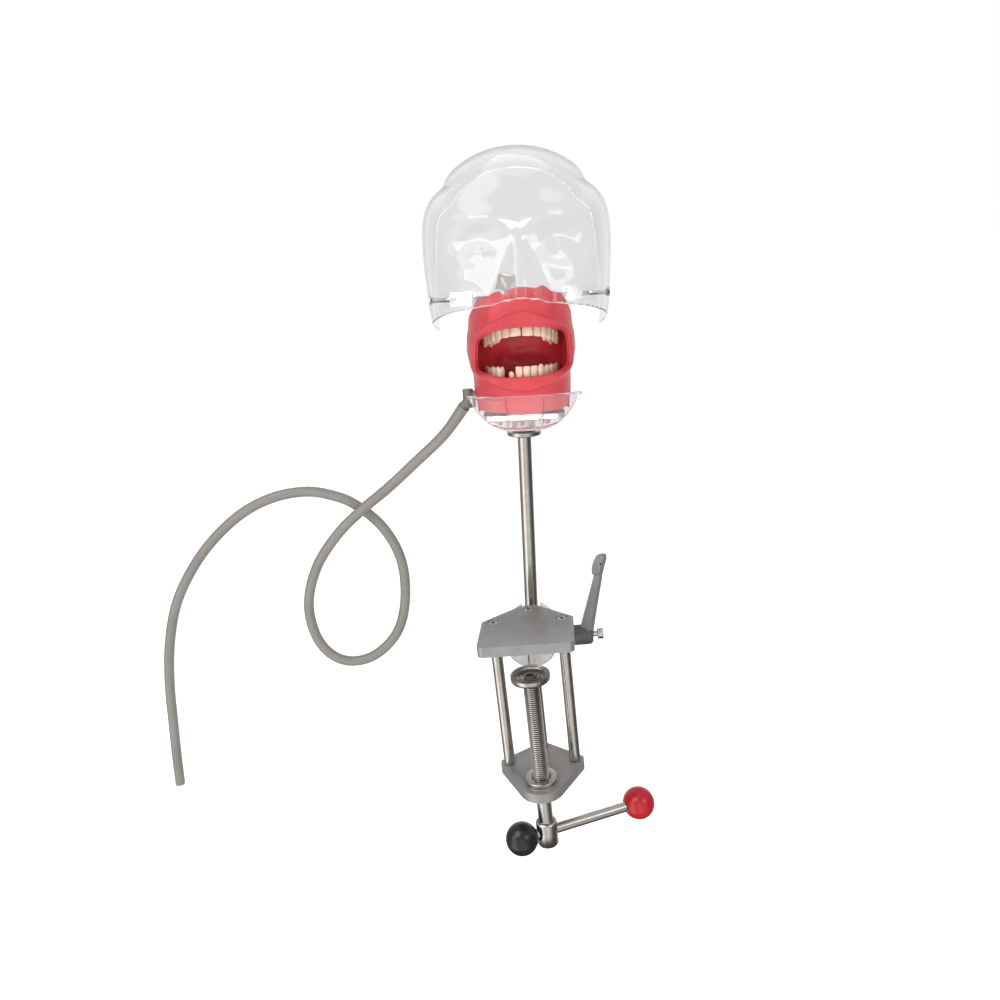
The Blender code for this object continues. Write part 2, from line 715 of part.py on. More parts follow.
def lower_jaw(head):
    gum_top = LOWER_BITE_Z - TOOTH_H
    gum("lower_gum", BASE_Z + BASE_T + GAP, gum_top - GAP, head)
    teeth("lower_teeth_left", -0.96, -0.44, gum_top, LOWER_BITE_Z, head)
    teeth("lower_teeth_right", -0.27, 0.96, gum_top, LOWER_BITE_Z, head)


def hinge_brackets(head):
    foot = BASE_Z + BASE_T + GAP
    for side, name in ((-1, "left"), (1, "right")):
        outline = hull([(HINGE_Y - 7, foot + 2, 2), (HINGE_Y + 7, foot + 2, 2),
                        (HINGE_Y, HINGE_Z, 8.0)])
        hole = circle(HINGE_Y, HINGE_Z, PIN_R + GAP)
        mesh = plate_mesh([outline, hole], 26.0, 30.0)
        mesh.transform(Matrix(((0, 0, side, 0), (1, 0, 0, 0), (0, 1, 0, 0), (0, 0, 0, 1))))
        if side < 0:
            mesh.flip_normals()
        add_part("hinge_bracket_" + name, mesh, "cast_aluminium", head)
    pin = [(0, 32.5), (5, 32.5), (5, 30.4), (PIN_R, 30.4), (PIN_R, -30.4), (5, -30.4),
           (5, -32.5), (0, -32.5)]
    turned("hinge_pin", pin, "stainless", head, at(0, HINGE_Y, HINGE_Z, ALONG_X), 20)


# ------------------------------------------------------------------- upper head

def upper_jaw(jaw):
    """Pieces drawn with the jaws shut; their empty opens them about the hinge."""
    gum_low = UPPER_BITE_Z + TOOTH_H
    gum("upper_gum", gum_low + GAP, UPPER_PLATE_Z - GAP, jaw)
    teeth("upper_teeth", -0.96, 0.96, UPPER_BITE_Z, gum_low, jaw)
    corners = [(side * (UPPER_PLATE_HALF_W - r), y, r) for side in (-1, 1)
               for y, r in ((-56.0, 3.0), (29.0, 3.0))]
    hole = circle(-9.0, -40.0, 3.4, 16)
    top = UPPER_PLATE_Z + UPPER_PLATE_T
    mesh = plate_mesh([hull(corners), hole], UPPER_PLATE_Z, top, edge=0.4)
    add_part("upper_jaw_plate", mesh, "cast_aluminium", jaw)
    for side, name in ((-1, "left"), (1, "right")):
        outline = hull([(HINGE_Y - 5, UPPER_PLATE_Z - GAP - 1, 1),
                        (HINGE_Y + 5, UPPER_PLATE_Z - GAP - 1, 1), (HINGE_Y, HINGE_Z, 7.0)])
        hole = circle(HINGE_Y, HINGE_Z, PIN_R + GAP)
        mesh = plate_mesh([outline, hole], 21.6, 25.6)
        mesh.transform(Matrix(((0, 0, side, 0), (1, 0, 0, 0), (0, 1, 0, 0), (0, 0, 0, 1))))
        if side < 0:
            mesh.flip_normals()
        add_part("hinge_arm_" + name, mesh, "cast_aluminium", jaw)
    knob = [(0, 21), (3.0, 21), (6.5, 19.5), (7.5, 18), (7.5, 5.5), (6.5, 4.2), (3.0, 4.2),
            (3.0, 0.4), (0, 0.4)]
    turned("shell_knob", knob, "stainless", jaw, at(-9.0, -40.0, UPPER_PLATE_Z), 24)


SHELL_HALF_W = 78.0
SHELL_MIDDLE_Y = -4.0
SHELL_MIDDLE_Z = 337.0


def face_shell(head):
    """Clear half mask of the upper face, open at the back and below."""
    work = bmesh.new()
    bmesh.ops.create_uvsphere(work, u_segments=24, v_segments=14, radius=1.0)
    for vert in work.verts:
        x, y, z = vert.co
        drop = 84.0 if z > 0 else 118.0
        reach = 80.0 if y < 0 else 62.0
        vert.co = Vector((x * SHELL_HALF_W, SHELL_MIDDLE_Y + y * reach,
                          SHELL_MIDDLE_Z + z * drop)) * MM
    cuts = (((0, -83, 299), (0, -0.24, -1)), ((0, 34, 340), (0, 1, -0.06)))
    for point, normal in cuts:
        everything = work.verts[:] + work.edges[:] + work.faces[:]
        bmesh.ops.bisect_plane(work, geom=everything, plane_co=Vector(point) * MM,
                               plane_no=Vector(normal).normalized(), clear_outer=True)
    mesh = bpy.data.meshes.new("face_shell")
    work.to_mesh(mesh)
    work.free()
    shell = add_part("face_shell", mesh, "clear", head)
    wall = shell.modifiers.new("wall", "SOLIDIFY")
    wall.thickness = 2.0 * MM
    wall.offset = -1.0
    for side, name in ((-1, "left"), (1, "right")):
        hole = round_tool(2.3, 40, 90, 16)
        place = at(0, -34.0, 304.0, ALONG_X if side > 0 else ALONG_X.transposed())
        boolean(shell, cutter("shell_hole_" + name, hole, head, place))
        wedge = ((UPPER_PLATE_HALF_W + GAP, -42), (54.3, -42), (61.3, -27),
                 (UPPER_PLATE_HALF_W + GAP, -27))
        mesh = plate_mesh([[(side * x, y) for x, y in wedge]], 298.5, 309.5)
        block = add_part("shell_bracket_" + name, mesh, "clear", head)
        bore = round_tool(2.3, 49, 90, 16)
        boolean(block, cutter("bracket_bore_" + name, bore, head, place))
        screw = [(0, 71.0), (3.4, 71.0), (3.8, 70.2), (2.0, 69.6), (2.0, 50), (0, 50)]
        turned("shell_screw_" + name, screw, "stainless", head, place, 16)


# -------------------------------------------------------------- mask, lining, drain

SPIGOT_PLACE = at(0, -20.0, 229.0, ALONG_X.transposed())


def sleeve_ring(height, half_w, front, back, steps=28):
    """Half a superellipse in plan, open at the back."""
    points = []
    for i in range(steps + 1):
        angle = math.pi * i / steps
        c = math.cos(angle)
        s = math.sin(angle)
        x = -half_w * math.copysign(abs(c) ** 0.62, c)
        y = back + (front - back) * abs(s) ** 0.72
        points.append(Vector((x, y, height)) * MM)
    return points


def loft(name, rings, look, parent, thickness):
    work = bmesh.new()
    rows = [[work.verts.new(point) for point in ring] for ring in rings]
    for low, high in zip(rows, rows[1:]):
        for i in range(len(low) - 1):
            work.faces.new((low[i], low[i + 1], high[i + 1], high[i]))
    mesh = bpy.data.meshes.new(name)
    work.to_mesh(mesh)
    work.free()
    obj = add_part(name, mesh, look, parent)
    wall = obj.modifiers.new("wall", "SOLIDIFY")
    wall.thickness = thickness * MM
    wall.offset = 0.0
    return obj


def oral_mask(head):
    """Silicone lips and cheeks: a sleeve round both jaws with the mouth opening."""
    heights = (214, 222, 232, 240, 252, 264, 276, 288, 296)
    widths = (40.3, 40.5, 41.0, 42.5, 43.4, 43.8, 43.2, 41.5, 40.5)
    fronts = (-65.5, -67.5, -70.5, -72.5, -71.0, -71.0, -73.0, -73.0, -71.0)
    rings = [sleeve_ring(h, w, f, 6.0) for h, w, f in zip(heights, widths, fronts)]
    mask = loft("oral_mask", rings, "mask_red", head, 2.0)
    mouth = [(-36.5, 251), (-20, 246), (0, 245), (20, 246), (36.5, 251), (35, 272),
             (28, 278), (0, 281), (-28, 278), (-35, 272)]
    mesh = plate_mesh([mouth], 45, 90)
    mesh.transform(Matrix.Rotation(math.radians(90), 4, "X"))
    boolean(mask, cutter("mouth_opening", mesh, head))
    boolean(mask, cutter("spigot_hole", round_tool(3.7, 37, 48, 16), head, SPIGOT_PLACE))


def mouth_lining(head):
    """The closed back of the mouth cavity, behind the teeth."""
    heights = (215, 222, 240, 262, 276)
    rings = [sleeve_ring(h, 34.6, 9.5, -30.0, 20) for h in heights]
    lining = loft("mouth_lining", rings, "mask_red", head, 1.8)
    boolean(lining, cutter("drain_port", round_tool(3.7, 20, 37, 16), head, SPIGOT_PLACE))


HOSE_START = (-49.6, -18.9, 216.3)
HOSE_ROUTE = [
    (-57, 62, 172), (-86, 69, 149), (-115, 72, 127), (-143, 73, 108), (-170, 74, 86),
    (-195, 76, 56), (-210, 78, 20), (-210, 80, -14), (-199, 82, -37), (-180, 84, -47),
    (-155, 86, -42), (-131, 88, -20), (-119, 89, 14), (-118, 90, 53), (-131, 90, 86),
    (-154, 90, 110), (-174, 88, 121), (-196, 85, 127), (-226, 82, 125), (-258, 80, 113),
    (-292, 80, 89), (-320, 80, 60), (-343, 80, 26), (-359, 80, -15), (-369, 80, -58),
    (-375, 80, -100), (-380, 80, -137), (-384, 80, -172),
]


def drain(head):
    """Spigot at the bottom of the mouth cavity, and the hose pushed onto it."""
    elbow = [(-33, -20, 229), (-41, -20, 229), (-43.8, -20, 228.1), (-45.3, -20, 226),
             (-45.8, -20, 223), (-46.6, -19.8, 220), (-48.8, -19.2, 217.2)]
    tube("drain_spigot", elbow, 3.2, "stainless", head, 2)
    bpy.context.view_layer.update()
    start = head.matrix_world @ (Vector(HOSE_START) * MM) / MM
    route = [tuple(start)] + HOSE_ROUTE
    tube("drain_hose", smooth_path(route, 50), HOSE_R, "hose_grey")


clear_scene()
PARTS = collection("bench_phantom_head")
CUTTERS = collection("cutters")

upper_plate()
lower_plate()
columns()
plate_screws()
spindle_bush()
ball_block()
block_half("ball_jaw", -1)
lever()
pressure_disc()
spindle()
tommy_bar()
HEAD = mast()
base_unit(HEAD)
chin_guard(HEAD)
lower_jaw(HEAD)
hinge_brackets(HEAD)
JAW = empty("jaw_axis", HEAD, at(0, HINGE_Y, HINGE_Z)
            @ Matrix.Rotation(-JAW_OPEN, 4, "X") @ at(0, -HINGE_Y, -HINGE_Z))
upper_jaw(JAW)
face_shell(HEAD)
oral_mask(HEAD)
mouth_lining(HEAD)
drain(HEAD)
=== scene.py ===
"""Visual model of a dental phantom head on a bench clamp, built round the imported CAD.

Shapes are drawn in millimetres in their own frame and written to the mesh in metres.
"""
import math

import bmesh
import bpy
from mathutils import Matrix, Vector


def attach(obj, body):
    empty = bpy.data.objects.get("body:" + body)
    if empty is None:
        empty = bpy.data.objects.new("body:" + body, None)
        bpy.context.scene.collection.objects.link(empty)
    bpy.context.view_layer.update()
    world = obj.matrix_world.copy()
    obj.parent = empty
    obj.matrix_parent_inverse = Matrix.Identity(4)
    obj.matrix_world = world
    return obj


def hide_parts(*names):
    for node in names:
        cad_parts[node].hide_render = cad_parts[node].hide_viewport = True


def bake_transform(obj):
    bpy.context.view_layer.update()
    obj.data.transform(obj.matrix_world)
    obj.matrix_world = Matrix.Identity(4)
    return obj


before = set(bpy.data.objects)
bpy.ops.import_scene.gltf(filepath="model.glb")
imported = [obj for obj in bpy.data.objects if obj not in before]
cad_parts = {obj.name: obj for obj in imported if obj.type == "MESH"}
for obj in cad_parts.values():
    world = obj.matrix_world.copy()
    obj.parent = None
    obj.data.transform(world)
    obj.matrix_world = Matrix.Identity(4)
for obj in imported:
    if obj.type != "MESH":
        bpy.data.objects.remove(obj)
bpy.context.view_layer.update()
MM = 0.001


def move(x, y, z):
    return Matrix.Translation((x, y, z))


def turn(degrees, axis):
    return Matrix.Rotation(math.radians(degrees), 4, axis)


def new_object(name, data):
    """An object for a mesh, curve, light or camera, linked into the scene."""
    obj = bpy.data.objects.new(name, data)
    bpy.context.scene.collection.objects.link(obj)
    return obj


def new_mesh(name, work):
    """Writes a bmesh to a mesh and frees it."""
    mesh = bpy.data.meshes.new(name)
    work.to_mesh(mesh)
    work.free()
    return mesh


ROW = Matrix.Identity(4)
BALL = (0.0, 75.0, -22.8)
MAST = move(*BALL) @ turn(3.4, "Y")
HEAD = MAST @ turn(4.0, "Z")
HINGE = move(0, 25, 268)
JAW = HEAD @ HINGE @ turn(-14, "X") @ HINGE.inverted()
ALONG_X = turn(90, "Y")
ALONG_Y = turn(-90, "X")
BAR = move(0, 0, -185) @ turn(21.4, "Z") @ ALONG_X
LEVER = move(0, 57, -22)


# ---- camera

camera_data = bpy.data.cameras.new("camera")
camera_data.lens = 27.94
camera_data.sensor_width = 36
camera_data.clip_start = 0.01
camera = new_object("camera", camera_data)
right = Vector((0.99138, 0.07341, -0.10878)).normalized()
back = Vector((0.1002, -0.9586, 0.2666)).normalized()
up = back.cross(right).normalized()
right = up.cross(back)
camera.matrix_world = Matrix((
    (right.x, up.x, back.x, 0.0531),
    (right.y, up.y, back.y, -0.5911),
    (right.z, up.z, back.z, 0.2912),
    (0, 0, 0, 1),
))
bpy.context.scene.camera = camera


# ---- materials

def new_material(name):
    made = bpy.data.materials.new(name)
    made.use_nodes = True
    tree = made.node_tree
    return made, tree, tree.nodes["Principled BSDF"]


def feed(tree, node, inputs):
    """Sets a node's inputs, each to a value or to the socket that feeds it."""
    for key, value in inputs.items():
        if hasattr(value, "is_output"):
            tree.links.new(value, node.inputs[key])
        else:
            node.inputs[key].default_value = value


def add_node(tree, kind, inputs=None, **settings):
    node = tree.nodes.new("ShaderNode" + kind)
    for key, value in settings.items():
        setattr(node, key, value)
    feed(tree, node, inputs or {})
    return node


def mix(tree, factor, a, b, blend="MIX"):
    return add_node(tree, "Mix", {"Factor": factor, "A": a, "B": b}, data_type="RGBA",
                    blend_type=blend).outputs["Result"]


def map_range(tree, value, low, high, start=0.0, interpolation="SMOOTHSTEP"):
    return add_node(tree, "MapRange", {"Value": value, "From Min": low, "From Max": high,
                                       "To Min": start},
                    interpolation_type=interpolation).outputs["Result"]


def spot(tree, scale=(1, 1, 1), rotation=(0, 0, 0)):
    """Object coordinates in millimetres, stretched and turned."""
    where = add_node(tree, "TexCoord").outputs["Object"]
    return add_node(tree, "Mapping", {
        "Vector": where, "Scale": [1000 * v for v in scale],
        "Rotation": [math.radians(v) for v in rotation]}).outputs["Vector"]


def noise_node(tree, vector, scale, detail=3.0):
    return add_node(tree, "TexNoise", {"Vector": vector, "Scale": scale, "Detail": detail,
                                       "Roughness": 0.55}).outputs["Fac"]


def ramp(tree, value, stops):
    """Colour ramp; stops are (place, colour or grey)."""
    node = add_node(tree, "ValToRGB", {"Fac": value})
    elements = node.color_ramp.elements
    while len(elements) < len(stops):
        elements.new(0.5)
    for element, (place, colour) in zip(elements, stops):
        element.position = place
        element.color = (*colour, 1) if hasattr(colour, "__len__") else (colour,) * 3 + (1,)
    return node.outputs["Color"]


def worn_edges(tree, colour, worn, amount):
    """Mix towards a worn colour where the surface is convex."""
    pointed = add_node(tree, "NewGeometry").outputs["Pointiness"]
    return mix(tree, ramp(tree, pointed, [(0.52, 0.0), (0.60, amount)]), colour, (*worn, 1))


def finish(tree, shader, colour, pattern, roughness, spread, depth_mm):
    """Colour, with roughness and relief that follow one pattern."""
    rough = ramp(tree, pattern, [(0.2, roughness * (1 - spread)),
                                 (0.8, roughness * (1 + spread))])
    relief = add_node(tree, "Bump", {"Distance": depth_mm * MM, "Height": pattern})
    feed(tree, shader, {"Base Color": colour, "Roughness": rough,
                        "Normal": relief.outputs["Normal"]})


def metal(name, dark, light, roughness, stretch, rotation=(0, 0, 0), grain=0.02,
          scale=1.0, worn=None, metallic=1.0, contrast=0.82):
    """Metal with fine marks stretched along one direction and slight staining."""
    made, tree, shader = new_material(name)
    marks = noise_node(tree, spot(tree, stretch, rotation), scale, 4.0)
    stains = noise_node(tree, spot(tree), 0.09)
    colour = mix(tree, 1.0, ramp(tree, stains, [(0.3, dark), (0.7, light)]),
                 ramp(tree, marks, [(0.25, contrast), (0.75, 1.0)]), "MULTIPLY")
    if worn:
        colour = worn_edges(tree, colour, worn, 0.6)
    finish(tree, shader, colour, marks, roughness, 0.25, grain)
    shader.inputs["Metallic"].default_value = metallic
    return made


def plastic(name, colour, deep, roughness, blotch=0.2, grain=0.01, grain_scale=2.0,
            subsurface=0.0, coat=0.0, worn=None):
    """Moulded plastic, rubber or enamel: mottled colour, fine grain and sheen."""
    made, tree, shader = new_material(name)
    mottle = noise_node(tree, spot(tree), blotch)
    base = ramp(tree, mottle, [(0.3, deep), (0.7, colour)])
    if worn:
        base = worn_edges(tree, base, worn, 0.5)
    fine = noise_node(tree, spot(tree), grain_scale)
    finish(tree, shader, base, fine, roughness, 0.2, grain)
    if subsurface:
        feed(tree, shader, {"Subsurface Weight": subsurface,
                            "Subsurface Radius": (1.0, 0.25, 0.18),
                            "Subsurface Scale": 2.5 * MM})
    feed(tree, shader, {"Coat Weight": coat, "Coat Roughness": 0.06})
    return made


def clear_plastic(name, tint, roughness, haze=0.0):
    """Clear moulded plastic with faint scuffs."""
    made, tree, shader = new_material(name)
    scuffs = noise_node(tree, spot(tree, (1, 1, 0.2)), 0.35, 5.0)
    feed(tree, shader, {
        "Roughness": ramp(tree, scuffs, [(0.35, roughness * 0.5), (0.75, roughness * 1.6)]),
        "Base Color": ramp(tree, scuffs, [(0.2, tint),
                                          (0.8, [min(1, v * 1.02) for v in tint])]),
        "Transmission Weight": 1.0 - haze, "IOR": 1.46})
    return made


def paint_thread_shade(made, root, crest):
    """Painted shade between the turns: darker towards the axis of the upright thread."""
    tree = made.node_tree
    base = tree.nodes["Principled BSDF"].inputs["Base Color"]
    colour = base.links[0].from_socket
    flat = add_node(tree, "VectorMath", {0: spot(tree), 1: (1, 1, 0)}, operation="MULTIPLY")
    length = add_node(tree, "VectorMath", {0: flat.outputs["Vector"]}, operation="LENGTH")
    depth = map_range(tree, length.outputs["Value"], root, crest, 0.3, "LINEAR")
    tree.links.new(mix(tree, 1.0, colour, depth, "MULTIPLY"), base)
    return made


M = {
    "blasted": metal("blasted_aluminium", (0.245, 0.234, 0.227), (0.305, 0.292, 0.284), 0.42,
                     (1, 1, 1), grain=0.012, scale=1.6, worn=(0.78, 0.78, 0.78),
                     metallic=0.72),
    "milled": metal("milled_aluminium", (0.70, 0.70, 0.715), (0.80, 0.80, 0.81), 0.34,
                    (2.4, 2.4, 0.05), grain=0.02, scale=0.9, worn=(0.86, 0.86, 0.86),
                    metallic=0.8),
    "turned_z": metal("turned_steel_upright", (0.52, 0.48, 0.44), (0.62, 0.58, 0.54),
                      0.2, (0.02, 0.02, 2.0), grain=0.0015, scale=0.9, contrast=0.94),
    "turned_flat": metal("turned_steel_flat", (0.50, 0.465, 0.43), (0.60, 0.565, 0.53),
                         0.24, (1.4, 1.4, 1.4), grain=0.003, scale=0.8, contrast=0.9),
    "turned_bar": metal("turned_steel_bar", (0.54, 0.50, 0.46), (0.66, 0.62, 0.58),
                        0.2, (2.0, 0.03, 0.03), (0, 0, -21.4), grain=0.0015, scale=0.9,
                        contrast=0.94),
    # thread steel whose colour is darkened towards the root of the turns: painted shade
    "thread": paint_thread_shade(metal("cut_thread_steel", (0.70, 0.65, 0.60),
                                  (0.80, 0.75, 0.70), 0.24, (0.3, 0.3, 0.6), grain=0.002,
                                  scale=1.0, contrast=0.92), 6.0, 6.9),
    "bright": metal("nickel_plated", (0.60, 0.575, 0.55), (0.72, 0.69, 0.66), 0.18,
                    (1, 1, 1), grain=0.002, scale=1.2, contrast=0.92),
    "stub": metal("dull_steel", (0.15, 0.142, 0.132), (0.19, 0.18, 0.168), 0.36,
                  (1, 1, 1), grain=0.004, scale=1.4, metallic=0.45),
    # near-black metal for the faces inside the block's slit: painted shade
    "slit_shade": metal("painted_slit_shade", (0.03, 0.03, 0.03), (0.05, 0.05, 0.05), 0.6,
                     (1, 1, 1), metallic=0.2),
    "brass": metal("brass", (0.62, 0.44, 0.20), (0.82, 0.62, 0.33), 0.25, (1, 1, 1),
                   grain=0.005, scale=1.5),
    "lever": metal("die_cast_grey", (0.066, 0.063, 0.063), (0.088, 0.084, 0.084), 0.36,
                   (1, 1, 1), grain=0.015, scale=1.1, worn=(0.24, 0.235, 0.235),
                   metallic=0.35),
    "black": plastic("black_phenolic", (0.0105, 0.011, 0.0135), (0.0085, 0.009, 0.011),
                     0.2, 0.12, 0.001, 0.5),
    "red": plastic("red_phenolic", (0.335, 0.0055, 0.011), (0.31, 0.005, 0.010), 0.22,
                   0.12, 0.001, 0.5),
    "mask": plastic("silicone_red", (0.445, 0.036, 0.046), (0.38, 0.027, 0.035), 0.42, 0.05,
                    0.006, 0.8, subsurface=0.12, worn=(0.70, 0.15, 0.16)),
    # red silicone, its base colour lighter than the mask's own red: painted light inside the
    # enclosed mouth
    "lining": plastic("silicone_red_painted_light", (0.62, 0.040, 0.055), (0.48, 0.026, 0.038),
                      0.38, 0.05, 0.01, 0.6, subsurface=0.1),
    "gum": plastic("gum_red", (0.66, 0.05, 0.055), (0.52, 0.028, 0.035), 0.32, 0.1, 0.01,
                   0.5, subsurface=0.15),
    "tooth": plastic("tooth_ivory", (0.73, 0.56, 0.43), (0.66, 0.45, 0.32), 0.24, 0.25,
                     0.004, 0.8, subsurface=0.1, coat=0.2),
    "hose": plastic("hose_grey", (0.188, 0.178, 0.162), (0.160, 0.150, 0.136), 0.34,
                    0.03, 0.004, 0.5, coat=0.08),
    "shell": clear_plastic("clear_shell", (0.965, 0.966, 0.97), 0.04),
    "guard": clear_plastic("clear_guard", (0.985, 0.95, 0.957), 0.03, haze=0.03),
    "block": clear_plastic("clear_block", (0.90, 0.905, 0.91), 0.12),
    "shell_edge": clear_plastic("clear_shell_edge", (0.97, 0.97, 0.975), 0.3, haze=0.55),
    "guard_edge": clear_plastic("clear_guard_edge", (0.74, 0.44, 0.50), 0.3, haze=0.5),
}
SLOTS = {
    "blasted": "cast_aluminium", "milled": "cast_aluminium", "turned_z": "stainless",
    "turned_flat": "stainless", "turned_bar": "stainless", "thread": "stainless",
    "bright": "stainless", "stub": "stainless", "brass": "brass", "lever": "lever_grey",
    "black": "black_plastic", "red": "red_plastic", "mask": "mask_red",
    "lining": "mask_red", "gum": "gum_red", "tooth": "tooth", "hose": "hose_grey",
    "shell": "clear", "guard": "clear", "block": "clear",
}


# ---- mesh helpers

def add_modifier(obj, kind, **settings):
    made = obj.modifiers.new(kind.lower(), kind)
    for key, value in settings.items():
        setattr(made, key, value)
    return made


def put(name, work, place, body, look, nodes=(), bevel=0.0, subdivide=0, sharp=35,
        thickness=0.0, offset=-1.0, rim=None):
    """Writes a bmesh in mm to an object in the row frame, and puts it on its body."""
    bmesh.ops.recalc_face_normals(work, faces=work.faces)
    mesh = new_mesh(name, work)
    mesh.transform(Matrix.Scale(MM, 4) @ place)
    obj = new_object(name, mesh)
    mesh.materials.append(M[look])
    mesh.shade_smooth()
    if sharp and not subdivide:
        mesh.set_sharp_from_angle(angle=math.radians(sharp))
    if thickness:
        wall = add_modifier(obj, "SOLIDIFY", thickness=thickness * MM, offset=offset,
                            use_even_offset=True, use_quality_normals=True)
        if rim:
            mesh.materials.append(M[rim])
            wall.material_offset_rim = 1
    if bevel:
        add_modifier(obj, "BEVEL", width=bevel * MM, segments=2, limit_method="ANGLE",
                     angle_limit=math.radians(32), harden_normals=True)
    if subdivide:
        add_modifier(obj, "SUBSURF", levels=subdivide, render_levels=subdivide)
    if body:
        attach(obj, body)
    if nodes:
        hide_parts(*nodes)
    if SLOTS[look] == "clear":  # lets the light through to what stands behind
        obj.visible_shadow = False
        obj.visible_diffuse = False
    return obj


def carve(work, tools):
    """Subtracts closed bmeshes from a closed bmesh, with exact Booleans."""
    def as_object(source, name):
        bmesh.ops.recalc_face_normals(source, faces=source.faces)
        return new_object(name, new_mesh(name, source))

    target = as_object(work, "carved")
    cutters = [as_object(tool, "tool") for tool in tools]
    for tool in cutters:
        add_modifier(target, "BOOLEAN", solver="EXACT", object=tool)
    bpy.context.view_layer.update()
    shape = target.evaluated_get(bpy.context.evaluated_depsgraph_get()).to_mesh()
    result = bmesh.new()
    result.from_mesh(shape)
    for obj in [target] + cutters:
        bpy.data.objects.remove(obj, do_unlink=True)
    return result


def lathe(profile, segments=64, closed=False):
    """A profile of (radius, height) turned about Z; ends on the axis are closed."""
    work = bmesh.new()
    rings = []
    for radius, height in profile:
        if radius < 1e-6:
            rings.append([work.verts.new((0, 0, height))])
            continue
        rings.append([work.verts.new((radius * math.cos(2 * math.pi * i / segments),
                                      radius * math.sin(2 * math.pi * i / segments), height))
                      for i in range(segments)])
    pairs = list(zip(rings, rings[1:]))
    if closed:
        pairs.append((rings[-1], rings[0]))
    for a, b in pairs:
        for i in range(segments):
            j = (i + 1) % segments
            corners = [a[i % len(a)], a[j % len(a)], b[j % len(b)], b[i % len(b)]]
            unique = [v for k, v in enumerate(corners) if v not in corners[:k]]
            if len(unique) > 2:
                work.faces.new(unique)
    return work


def slab(outline, bottom, top):
    work = bmesh.new()
    low = [work.verts.new((x, y, bottom)) for x, y in outline]
    high = [work.verts.new((x, y, top)) for x, y in outline]
    work.faces.new(low)
    work.faces.new(high)
    for i in range(len(low)):
        j = (i + 1) % len(low)
        work.faces.new((low[i], low[j], high[j], high[i]))
    return work


def placed(work, place):
    work.transform(place)
    return work


def rod(radius, bottom, top, segments=48):
    return lathe([(0, bottom), (radius, bottom), (radius, top), (0, top)], segments)


def block(low, high):
    return slab([(low[0], low[1]), (high[0], low[1]), (high[0], high[1]),
                 (low[0], high[1])], low[2], high[2])


def arc(cx, cy, radius, start, end, steps):
    return [(cx + radius * math.cos(math.radians(start + (end - start) * i / steps)),
             cy + radius * math.sin(math.radians(start + (end - start) * i / steps)))
            for i in range(steps + 1)]


def cross(a, b, c):
    return (b[0] - a[0]) * (c[1] - a[1]) - (b[1] - a[1]) * (c[0] - a[0])


def hull(circles, steps=72):
    """The outline of a band stretched round circles (x, y, radius)."""
    points = set()
    for x, y, radius in circles:
        points |= {(round(a, 4), round(b, 4)) for a, b in arc(x, y, radius, 0, 360, steps)}
    points = sorted(points)
    outline = []
    for sequence in (points, points[::-1]):
        side = []
        for point in sequence:
            while len(side) > 1 and cross(side[-2], side[-1], point) <= 0:
                side.pop()
            side.append(point)
        outline += side[:-1]
    return outline


def grid(rows, close_rows=False, work=None):
    """A sheet through rows of points; close_rows joins each row's end to its start."""
    work = work or bmesh.new()
    verts = [[work.verts.new(p) for p in row] for row in rows]
    for a, b in zip(verts, verts[1:]):
        count = len(a) if close_rows else len(a) - 1
        for i in range(count):
            j = (i + 1) % len(a)
            work.faces.new((a[i], a[j], b[j], b[i]))
    return work


def cap_ends(work, rows):
    """Closes both ends of the closed rows that a grid has just added."""
    work.verts.ensure_lookup_table()
    first = len(work.verts) - sum(len(row) for row in rows)
    work.faces.new(work.verts[first:first + len(rows[0])])
    work.faces.new(work.verts[-len(rows[-1]):])


def power(value, exponent):
    """A power of the size of a value, with its sign kept."""
    return math.copysign(abs(value) ** exponent, value)


def ease(value, low, high):
    t = max(0.0, min(1.0, (value - low) / (high - low)))
    return t * t * (3 - 2 * t)


def bell(value, centre, width):
    return math.exp(-((value - centre) / width) ** 2)


def smooth_path(route, count):
    """Points at equal steps along a smooth curve through a route's points."""
    points = [Vector(p) for p in route]
    ends = [2 * points[0] - points[1]] + points + [2 * points[-1] - points[-2]]
    fine = []
    for a, b, c, d in zip(ends, ends[1:], ends[2:], ends[3:]):
        for step in range(20):
            t = step / 20
            fine.append(0.5 * ((2 * b) + (c - a) * t + (2 * a - 5 * b + 4 * c - d) * t * t
                               + (3 * b - a - 3 * c + d) * t ** 3))
    fine.append(points[-1])
    lengths = [0.0]
    for a, b in zip(fine, fine[1:]):
        lengths.append(lengths[-1] + (b - a).length)
    result = []
    spot_at = 0
    for i in range(count):
        want = lengths[-1] * i / (count - 1)
        while spot_at < len(lengths) - 2 and lengths[spot_at + 1] < want:
            spot_at += 1
        span = lengths[spot_at + 1] - lengths[spot_at]
        result.append(fine[spot_at].lerp(fine[spot_at + 1], (want - lengths[spot_at]) / span))
    return result, lengths[-1]


# ---- drain hose

HOSE_R = 4.75
HOSE_START = (-49.6, -18.9, 216.3)
HOSE_ROUTE = [
    (-57, 62, 172), (-86, 69, 149), (-115, 72, 127), (-143, 73, 108), (-170, 74, 86),
    (-195, 76, 56), (-210, 78, 20), (-210, 80, -14), (-199, 82, -37), (-180, 84, -47),
    (-155, 86, -42), (-131, 88, -20), (-119, 89, 14), (-118, 90, 53), (-131, 90, 86),
    (-154, 90, 110), (-174, 88, 121), (-196, 85, 127), (-226, 82, 125), (-258, 80, 113),
    (-292, 80, 89), (-320, 80, 60), (-343, 80, 26), (-359, 80, -15), (-369, 80, -58),
    (-375, 80, -100), (-380, 80, -137), (-384, 80, -172),
]


